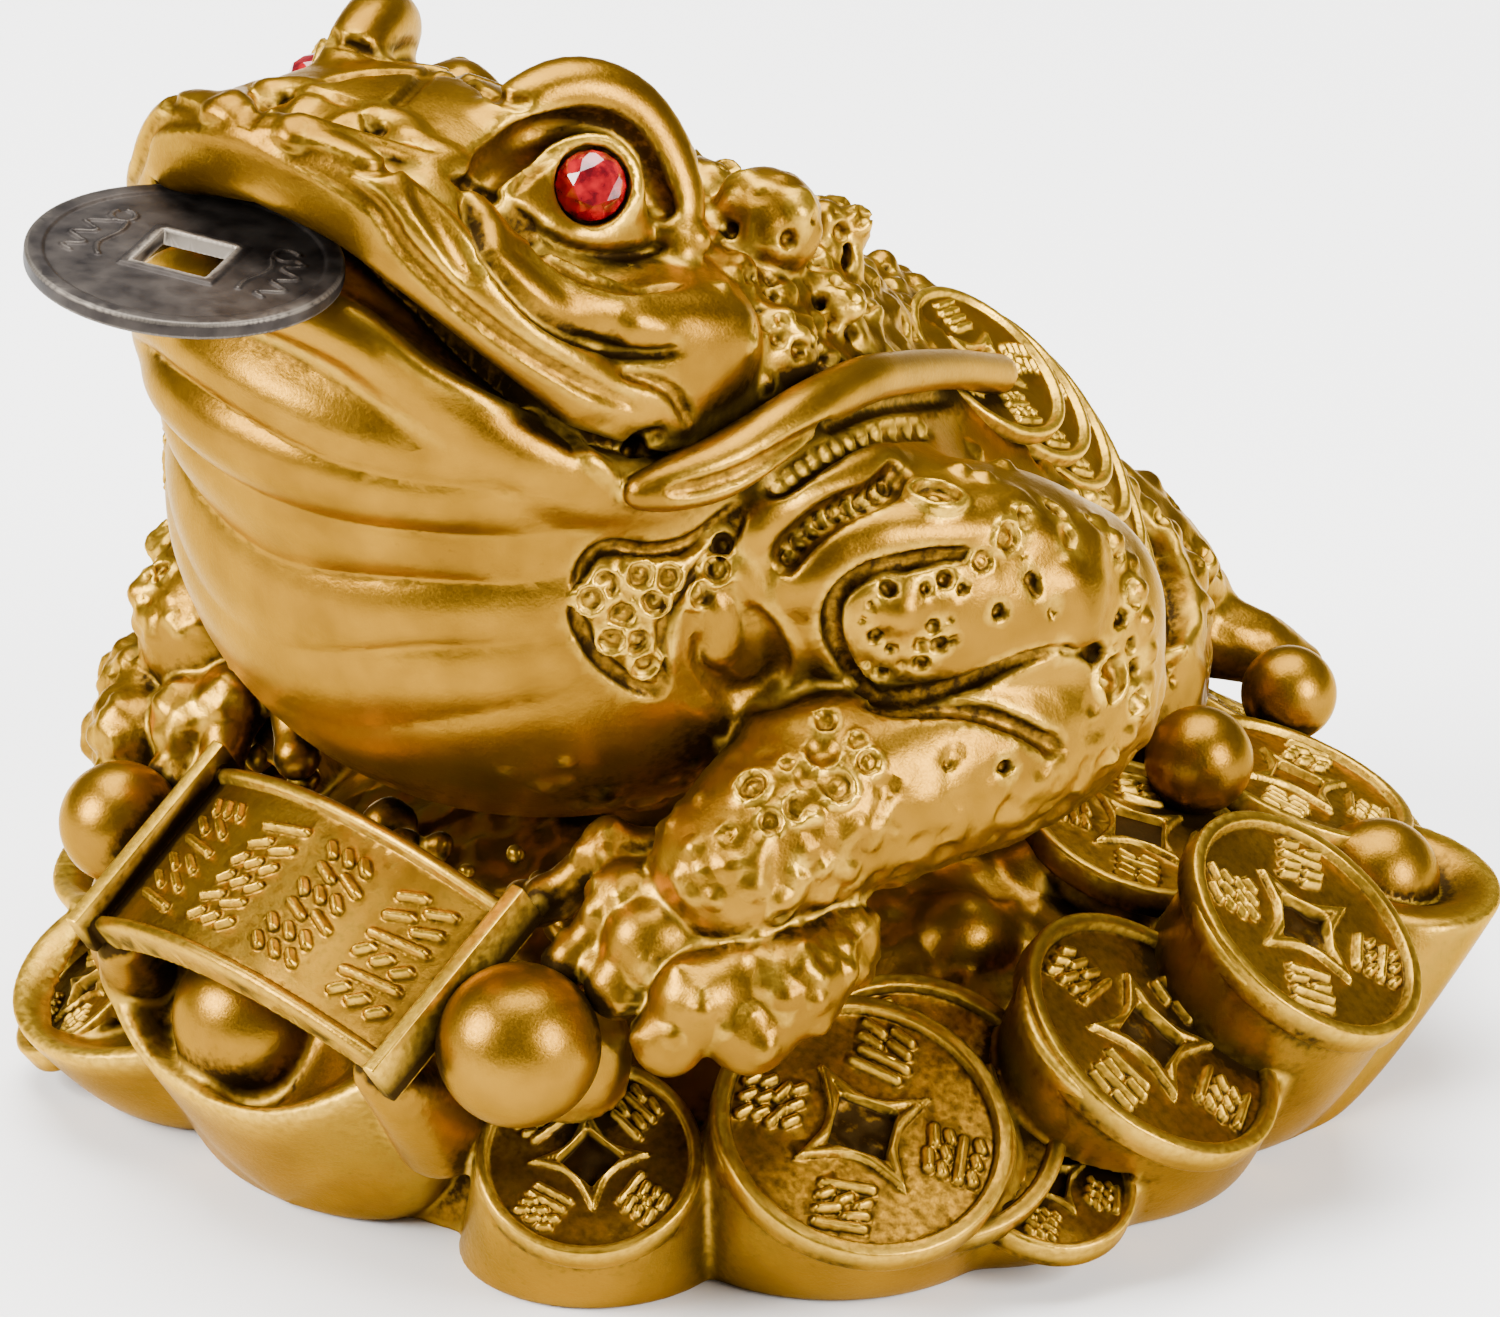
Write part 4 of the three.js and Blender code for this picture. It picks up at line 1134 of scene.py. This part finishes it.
def cash_coin(radius, thick, seed, step=0.17):
    """A coin in clay, its face up at height 0."""
    draw = np.random.default_rng(seed)
    coin = Clay((-radius - 0.6, -radius - 0.6, -thick - 0.6), (radius + 0.6, radius + 0.6, 0.8), step)
    x, y, z = coin.lines()
    wide = np.hypot(x, y)
    rim, sunk, cell = 0.125 * radius, COIN_SUNK * radius, 0.46 * radius
    inner = np.clip((wide - (radius - rim)) / 0.3, 0, 1)
    top = -sunk * (1 - inner * inner * (3 - 2 * inner))
    top = top - 0.12 * np.clip((wide - radius + 0.5 * rim) / rim, 0, 1)
    larger, smaller = np.maximum(abs(x), abs(y)), np.minimum(abs(x), abs(y))
    edge = (0.25 + 0.14 * (smaller / np.maximum(larger, 1e-3)) ** 2.2) * radius
    frame_share = np.clip((edge - larger) / 0.25, 0, 1)
    middle_share = np.clip((edge - 0.1 * radius - larger) / 0.25, 0, 1)
    top = np.maximum(top, -sunk + (0.75 * sunk) * frame_share)
    top = top - 0.3 * sunk * middle_share
    for quarter in range(4):
        angle = quarter * math.pi / 2
        across_cell = x * math.cos(angle) + y * math.sin(angle)
        along_cell = -x * math.sin(angle) + y * math.cos(angle) - 0.62 * radius
        lines = strokes(draw, 0.8 * cell, 0.9 * cell)
        lines = [(a * 1.05, b, c * 1.05, d) for a, b, c, d in lines]
        raised = stroke_height(across_cell, along_cell, lines, 0.026 * radius + 0.05)
        top = np.maximum(top, -sunk + 0.85 * sunk * raised)
    top = top + 0.05 * grain(x, y, ONE_LEVEL, 0.9, seed)
    pocket_floor = -1.3 + 0.35 * grain(x, y, ONE_LEVEL, 0.8, seed + 50)
    top = np.where(larger < 0.2 * radius, pocket_floor, top)
    body = disc_shape(wide - radius, np.abs(z + thick / 2) - thick / 2, 0.35)
    coin.skin = np.maximum(body, (z - top) * 0.8).astype(np.float32)
    return coin


NEAR_COIN, FAR_COIN, NEAR_COINS = 15000, 7000, 8
for number, (centre, axes, radius, thick) in enumerate(coins):
    coin = cash_coin(radius, thick, 20 + number)
    triangles = NEAR_COIN if number < NEAR_COINS else FAR_COIN
    gilded(skinned(f"heap_coin_{number + 1}", coin, triangles, axes, centre), coin, axes, centre)


# The strings of coins down the back.
# Cast with the back: flat coins overlap like scales under the end of each cord. One coin is modelled and
# a Geometry Nodes tree sets it along the row.
string_coin = skinned("string_coin", cash_coin(STRING_RADIUS, STRING_THICK, 71, 0.2), 6000)
row_mesh = bpy.data.meshes.new("coin_row")
row_mesh.from_pydata([place / 1000 for place, _ in spots], [], [])
facing_values = row_mesh.attributes.new("facing", "FLOAT_VECTOR", "POINT")
facing_values.data.foreach_set("vector", np.array([facing for _, facing in spots], np.float32).ravel())
row = shown("coin_strings", row_mesh)


def laying_tree(name, with_facing):
    """Sets scaled copies of a piece on points, turned to their facing or grown by their size attribute."""
    tree = bpy.data.node_groups.new(name, "GeometryNodeTree")
    tree.interface.new_socket("Geometry", in_out="INPUT", socket_type="NodeSocketGeometry")
    input_ids = [tree.interface.new_socket(label, in_out="INPUT", socket_type="NodeSocket" + kind).identifier
                 for label, kind in (("Piece", "Object"), ("Finish", "Material"), ("Scale", "Float"))]
    tree.interface.new_socket("Geometry", in_out="OUTPUT", socket_type="NodeSocketGeometry")
    given = tree.nodes.new("NodeGroupInput").outputs
    source = node(tree, "GeometryNodeObjectInfo", {"Object": given["Piece"]})
    lay = node(tree, "GeometryNodeInstanceOnPoints", {"Points": given["Geometry"],
                                                      "Instance": source.outputs["Geometry"]})
    if with_facing:
        named = node(tree, "GeometryNodeInputNamedAttribute", {"Name": "facing"}, data_type="FLOAT_VECTOR")
        inputs = {"Vector": named.outputs["Attribute"]}
        turn = node(tree, "FunctionNodeAlignRotationToVector", inputs, axis="Z")
        wire(tree, lay, {"Rotation": turn.outputs["Rotation"], "Scale": given["Scale"]})
    else:
        named = node(tree, "GeometryNodeInputNamedAttribute", {"Name": "size"}, data_type="FLOAT")
        inputs = {0: named.outputs["Attribute"], 1: given["Scale"]}
        times = node(tree, "ShaderNodeMath", inputs, operation="MULTIPLY")
        wire(tree, lay, {"Scale": times.outputs[0]})
    real = node(tree, "GeometryNodeRealizeInstances", {"Geometry": lay.outputs["Instances"]})
    paint = node(tree, "GeometryNodeSetMaterial", {"Geometry": real.outputs["Geometry"],
                                                   "Material": given["Finish"]})
    node(tree, "NodeGroupOutput", {"Geometry": paint.outputs["Geometry"]})
    return tree, input_ids


def laid(holder, piece, with_facing, scale=1.0):
    """Makes a plain mesh of the copies of a piece on a holder's points."""
    tree, input_ids = laying_tree(holder.name, with_facing)
    layer = holder.modifiers.new("lay", "NODES")
    layer.node_group = tree
    for input_id, value in zip(input_ids, (piece, gold, scale)):
        layer[input_id] = value
    plain = bpy.data.meshes.new_from_object(holder.evaluated_get(bpy.context.evaluated_depsgraph_get()))
    holder.modifiers.clear()
    holder.data = plain
    bpy.data.objects.remove(piece)
    holder.data.shade_smooth()
    gilded(holder)


laid(row, string_coin, True)


# The pearls.
# Six plain balls cast with the heap, half buried in its grit, laid by a Geometry Nodes tree.
PEARLS = [(23.5, 54.2, 24, 6), (-27.5, 50, 25.6, 4.6), (126.3, 33.9, 23.6, 4.1), (154.6, 45, 19.4, 3.7),
          (-110, 43, 19, 4.2), (-148, 44, 18, 3.8)]
pearl_mesh = bpy.data.meshes.new("pearls")
pearl_mesh.from_pydata([on_heap(*pearl[:3]) / 1000 for pearl in PEARLS], [], [])
sizes = pearl_mesh.attributes.new("size", "FLOAT", "POINT")
sizes.data.foreach_set("value", [pearl[3] for pearl in PEARLS])
bpy.ops.mesh.primitive_ico_sphere_add(subdivisions=5, radius=0.001)
laid(shown("pearls", pearl_mesh), bpy.context.object, False)


# The banner.
# Cast with the heap: an arched plate between two upright bars over the front ingot, with raised borders
# and four groups of shallow strokes that are no letters.
BANNER_CENTRE, BANNER_SLOPE, BANNER_YAW = np.array((0.2, -49.6, 27.3)), math.radians(34), math.radians(-5.8)
HALF_WIDTH, HALF_LENGTH, CROWN, BORDER, PLATE_SUNK = 16.3, 7.8, 4.4, 1.1, 0.8
GROUPS, GROUP_PITCH, GROUP_WIDTH, GROUP_HEIGHT = 4, 7.4, 5.0, 10.4
banner_clay = Clay((-18.6, -9.6, -4), (18.6, 9.6, 5.6), 0.18)
x, y, z = banner_clay.lines()
arch = CROWN * (1 - (x / HALF_WIDTH) ** 2)
inward = HALF_LENGTH - np.abs(y)
raised_edge = np.sqrt(np.clip(1 - ((inward - BORDER / 2) / (BORDER / 2 + 0.1)) ** 2, 0, 1))
top = arch - PLATE_SUNK + (PLATE_SUNK + 0.05) * raised_edge
draw = np.random.default_rng(5)
for column in range(GROUPS):
    offset = (column - (GROUPS - 1) / 2) * GROUP_PITCH
    lines = strokes(draw, GROUP_WIDTH, GROUP_HEIGHT, 6)
    top = np.maximum(top, arch - PLATE_SUNK + 0.62 * stroke_height(x - offset, y, lines, 0.3))
top = top + 0.05 * grain(x, y, ONE_LEVEL, 1.1, 15)
plate = np.maximum(np.maximum((z - top) * 0.8, arch - 3.2 - z),
                   np.maximum(np.abs(x) - HALF_WIDTH, np.abs(y) - HALF_LENGTH))
bars = np.maximum(np.maximum(np.abs(np.abs(x) - HALF_WIDTH - 0.2) - 0.45, np.abs(y) - HALF_LENGTH - 0.9),
                  np.maximum(z - 1.5, -2 - z))
banner_clay.skin = melt(plate, bars - 0.15, 0.3).astype(np.float32)
tilt = np.array(Matrix.Rotation(BANNER_YAW, 3, "Z") @ Matrix.Rotation(BANNER_SLOPE, 3, "X"))
gilded(skinned("banner", banner_clay, 40000, tilt, BANNER_CENTRE), banner_clay, tilt, BANNER_CENTRE)


# The eye stones.
# Two round red glass stones, cut with a flat table and small facets, glued into their sockets.
FACETS = 8


def cut_stone(name, mirror):
    radius, height = STONE_RADIUS, STONE_HEIGHT
    axes = aimed(EYE_FACING * (mirror, 1, 1))
    centre = EYE_SEAT * (mirror, 1, 1) + axes[:, 2] * height / 2
    points, faces = [], []

    def circle(share, level, count=FACETS, turn=0.0):
        """Adds points on a circle, and says where they start in the list."""
        for angle in 2 * math.pi * (np.arange(count) + turn) / count:
            spoke = (share * radius * math.cos(angle), share * radius * math.sin(angle), level * height)
            points.append(centre + axes @ np.array(spoke))
        return len(points) - count

    table, star = circle(0.56, 0.5), circle(0.80, 0.28, turn=0.5)
    girdle, lower = circle(1.0, 0.0, 2 * FACETS), circle(1.0, -0.1, 2 * FACETS)
    points.append(centre - axes[:, 2] * height / 2)
    tip = len(points) - 1
    faces.append([table + i for i in range(FACETS)])
    for i in range(FACETS):
        next_table = table + (i + 1) % FACETS
        left, middle, right = (girdle + (2 * i + j) % (2 * FACETS) for j in range(3))
        faces += [[table + i, star + i, next_table], [star + i, table + i, left], [star + i, left, middle],
                  [star + i, middle, right], [star + i, right, next_table]]
    for i in range(2 * FACETS):
        j = (i + 1) % (2 * FACETS)
        faces += [[girdle + i, lower + i, lower + j, girdle + j], [lower + i, tip, lower + j]]
    mesh = bpy.data.meshes.new(name)
    mesh.from_pydata([list(p / 1000) for p in points], [], faces)
    face_outwards(mesh)
    mesh.materials.append(red_glass)
    return shown(name, mesh)


def two_tone(tree, value, low, dark, high, light):
    """A colour that runs from dark at a low value to light at a high one."""
    ramp = node(tree, "ShaderNodeValToRGB", {"Fac": value})
    for element, position, colour in zip(ramp.color_ramp.elements, (low, high), (dark, light)):
        element.position, element.color = position, colour
    return ramp.outputs["Color"]


red_glass, tree, shader = finish("red_glass")
tint = two_tone(tree, noise(tree, 900), 0.35, (0.09, 0.0, 0.004, 1), 0.65, (0.44, 0.002, 0.008, 1))
wire(tree, shader, {"Base Color": tint, "Roughness": 0.04, "IOR": 1.6, "Transmission Weight": 0.35,
                    "Coat Weight": 0.25, "Coat Roughness": 0.03})
for name, mirror in (("eye_stone_left", 1), ("eye_stone_right", -1)):
    stone = cut_stone("cut_" + name, mirror)
    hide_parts(name)
    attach(stone, "root")


# The loose coin in the mouth.
# A dark cast bronze coin, worn lighter on its rims, with a square hole, laid in the slot of the mouth.
COIN_RIM, COIN_RELIEF, COIN_HOLE, COIN_SPIN = 1.5, 0.2, 5.6, 20


def in_pieces(line):
    return [(*a, *b) for a, b in zip(line[:-1], line[1:])]


def wavy(start, end, waves, swing, bend):
    """A line with even waves between two points, in short pieces."""
    start, end = np.array(start, float), np.array(end, float)
    along = end - start
    side = np.array((-along[1], along[0])) / np.linalg.norm(along)
    way = np.linspace(0, 1, 10 * waves + 1)
    aside = swing * np.sin(2 * math.pi * waves * way) + bend * np.sin(math.pi * way)
    return in_pieces(start + way[:, None] * along + side * aside[:, None])


def ring_of_lines(centre, radius, turns, start):
    angles = np.linspace(start, start + 2 * math.pi * turns, 17)
    return in_pieces(np.c_[centre[0] + radius * np.cos(angles), centre[1] + radius * np.sin(angles)])


bronze_clay = Clay((-12.2, -12.2, -1.5), (12.2, 12.2, 1.5), 0.14)
x, y, z = bronze_clay.lines()
wide = np.hypot(x, y)
spin = math.radians(COIN_SPIN)
u, v = x * math.cos(spin) + y * math.sin(spin), -x * math.sin(spin) + y * math.cos(spin)
half = COIN_THICK / 2
square = np.maximum(abs(u), abs(v))
script = []
for side in (-1, 1):
    script += wavy((-3.4, side * 7.4), (3.2, side * 7.2), 3, 0.75, side * 0.5)
    script += wavy((-3.0, side * 5.4), (2.6, side * 5.6), 1, 0.35, side * 0.4)
    script += ring_of_lines((3.6, side * 6.3), 0.9, 0.85, side)
face = np.clip((wide - COIN_RADIUS + COIN_RIM) / 0.25, 0, 1)
face = np.maximum(face, np.clip((COIN_HOLE / 2 + 0.9 - square) / 0.2, 0, 1))
face = np.maximum(face, 0.9 * stroke_height(v, -u, script, 0.17))
level = half - COIN_RELIEF * (1 - face)
body = disc_shape(wide - COIN_RADIUS, np.abs(z) - half, 0.25)
body = np.maximum(body, (np.abs(z) - level) * 0.9)
bronze_clay.skin = np.maximum(body, COIN_HOLE / 2 - square).astype(np.float32)
mouth_coin = skinned("loose_coin", bronze_clay, 40000, aimed(COIN_FACING), COIN_CENTRE)

WORN_BRONZE = (0.30, 0.26, 0.21, 1)
bronze, tree, shader = finish("dark_bronze")
stain = noise(tree, 450, 6)
tint = two_tone(tree, stain, 0.32, (0.014, 0.011, 0.010, 1), 0.72, (0.050, 0.042, 0.036, 1))
shade_wash_and_wear = node(tree, "ShaderNodeAttribute", {}, attribute_name="rubbed").outputs["Fac"]
bump = node(tree, "ShaderNodeBump", {"Strength": 0.35, "Distance": 0.0002, "Height": stain})
metal_colour = mixed(tree, ranged(tree, shade_wash_and_wear, 0.1, 0.45), tint, WORN_BRONZE)
wire(tree, shader, {"Base Color": metal_colour, "Roughness": ranged(tree, stain, 0, 1, 0.4, 0.65),
                    "Metallic": 0.9, "Normal": bump.outputs["Normal"]})
mouth_coin.data.materials.append(bronze)
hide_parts("mouth_coin")
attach(mouth_coin, "root")


# Painted shade and highlight, with the brown wash.
# Brown is painted into the hollows, as a wash and as painted shade, and the edges are painted bright as a
# highlight. The clay, now with the coins, pearls and banner in it, tells how open each place is.
for centre, axes, radius, thick in coins:
    heap.add(puck(centre - axes[:, 2] * COIN_SUNK * radius, axes, radius, thick))
sunk = COIN_SUNK * STRING_RADIUS
for place, facing in spots:
    clay.add(puck(place - facing * sunk, aimed(facing), STRING_RADIUS, STRING_THICK))
for pearl in PEARLS:
    heap.add(ball(on_heap(*pearl[:3]), pearl[3]))


def banner_ball(x, y, z, radius):
    heap.add(ball(BANNER_CENTRE + tilt @ np.array((x, y, z)), radius))


for side in (-1, 1):
    for way in np.linspace(-1, 1, 9):
        banner_ball(side * (HALF_WIDTH + 0.4), way * HALF_LENGTH, -1.2, 2.2)
for share in np.linspace(-1, 1, 17):
    for way in np.linspace(-1, 1, 9):
        banner_ball(share * HALF_WIDTH, way * (HALF_LENGTH - 0.6), CROWN * (1 - share ** 2) - 2.1, 1.3)
OPEN_REACHES = ((0.5, 0.3), (1.4, 0.4), (3.6, 0.3))  # each a reach out of the skin in mm and its weight
HIGHLIGHT_REACH, COIN_RUB_REACH = 0.8, 0.3


def nearest_skin(points, own, axes, centre):
    depth = np.minimum(clay.read(points), heap.read(points))
    if own is None:
        return depth
    return np.minimum(depth, own.read((points - np.array(centre)) @ axes))


def marked_hollows_and_edges(piece, nearest, edge_reach):
    """Writes how hollow and how near an edge each point of a piece is, from the distance to the nearest skin.
    """
    count = len(piece.data.vertices)
    places, outs = np.empty(3 * count, np.float32), np.empty(3 * count, np.float32)
    piece.data.vertices.foreach_get("co", places)
    piece.data.vertex_normals.foreach_get("vector", outs)
    places, outs = 1000 * places.reshape(-1, 3).astype(float), outs.reshape(-1, 3).astype(float)
    closed = np.zeros(count)
    # closed sets the painted shade in the hollows; edge sets the painted highlight on the gold and the wear
    # on the bronze coin's rims.
    for reach, weight in OPEN_REACHES:
        closed += weight * np.clip(1 - nearest(places + reach * outs) / reach, 0, 1.4)
    edge = np.clip(1 + nearest(places - edge_reach * outs) / edge_reach, 0, 1)
    for name, values in (("hollow", closed), ("rubbed", edge)):
        layer = piece.data.attributes.new(name, "FLOAT", "POINT")
        layer.data.foreach_set("value", values.astype(np.float32))


# Each gold piece gets the amounts of its painted shade and painted highlight from the clay.
for piece, own, axes, centre in gold_pieces:
    marked_hollows_and_edges(piece, lambda points: nearest_skin(points, own, axes, centre), HIGHLIGHT_REACH)
mouth_axes = aimed(COIN_FACING)
marked_hollows_and_edges(mouth_coin, lambda points: bronze_clay.read((points - COIN_CENTRE) @ mouth_axes), COIN_RUB_REACH)
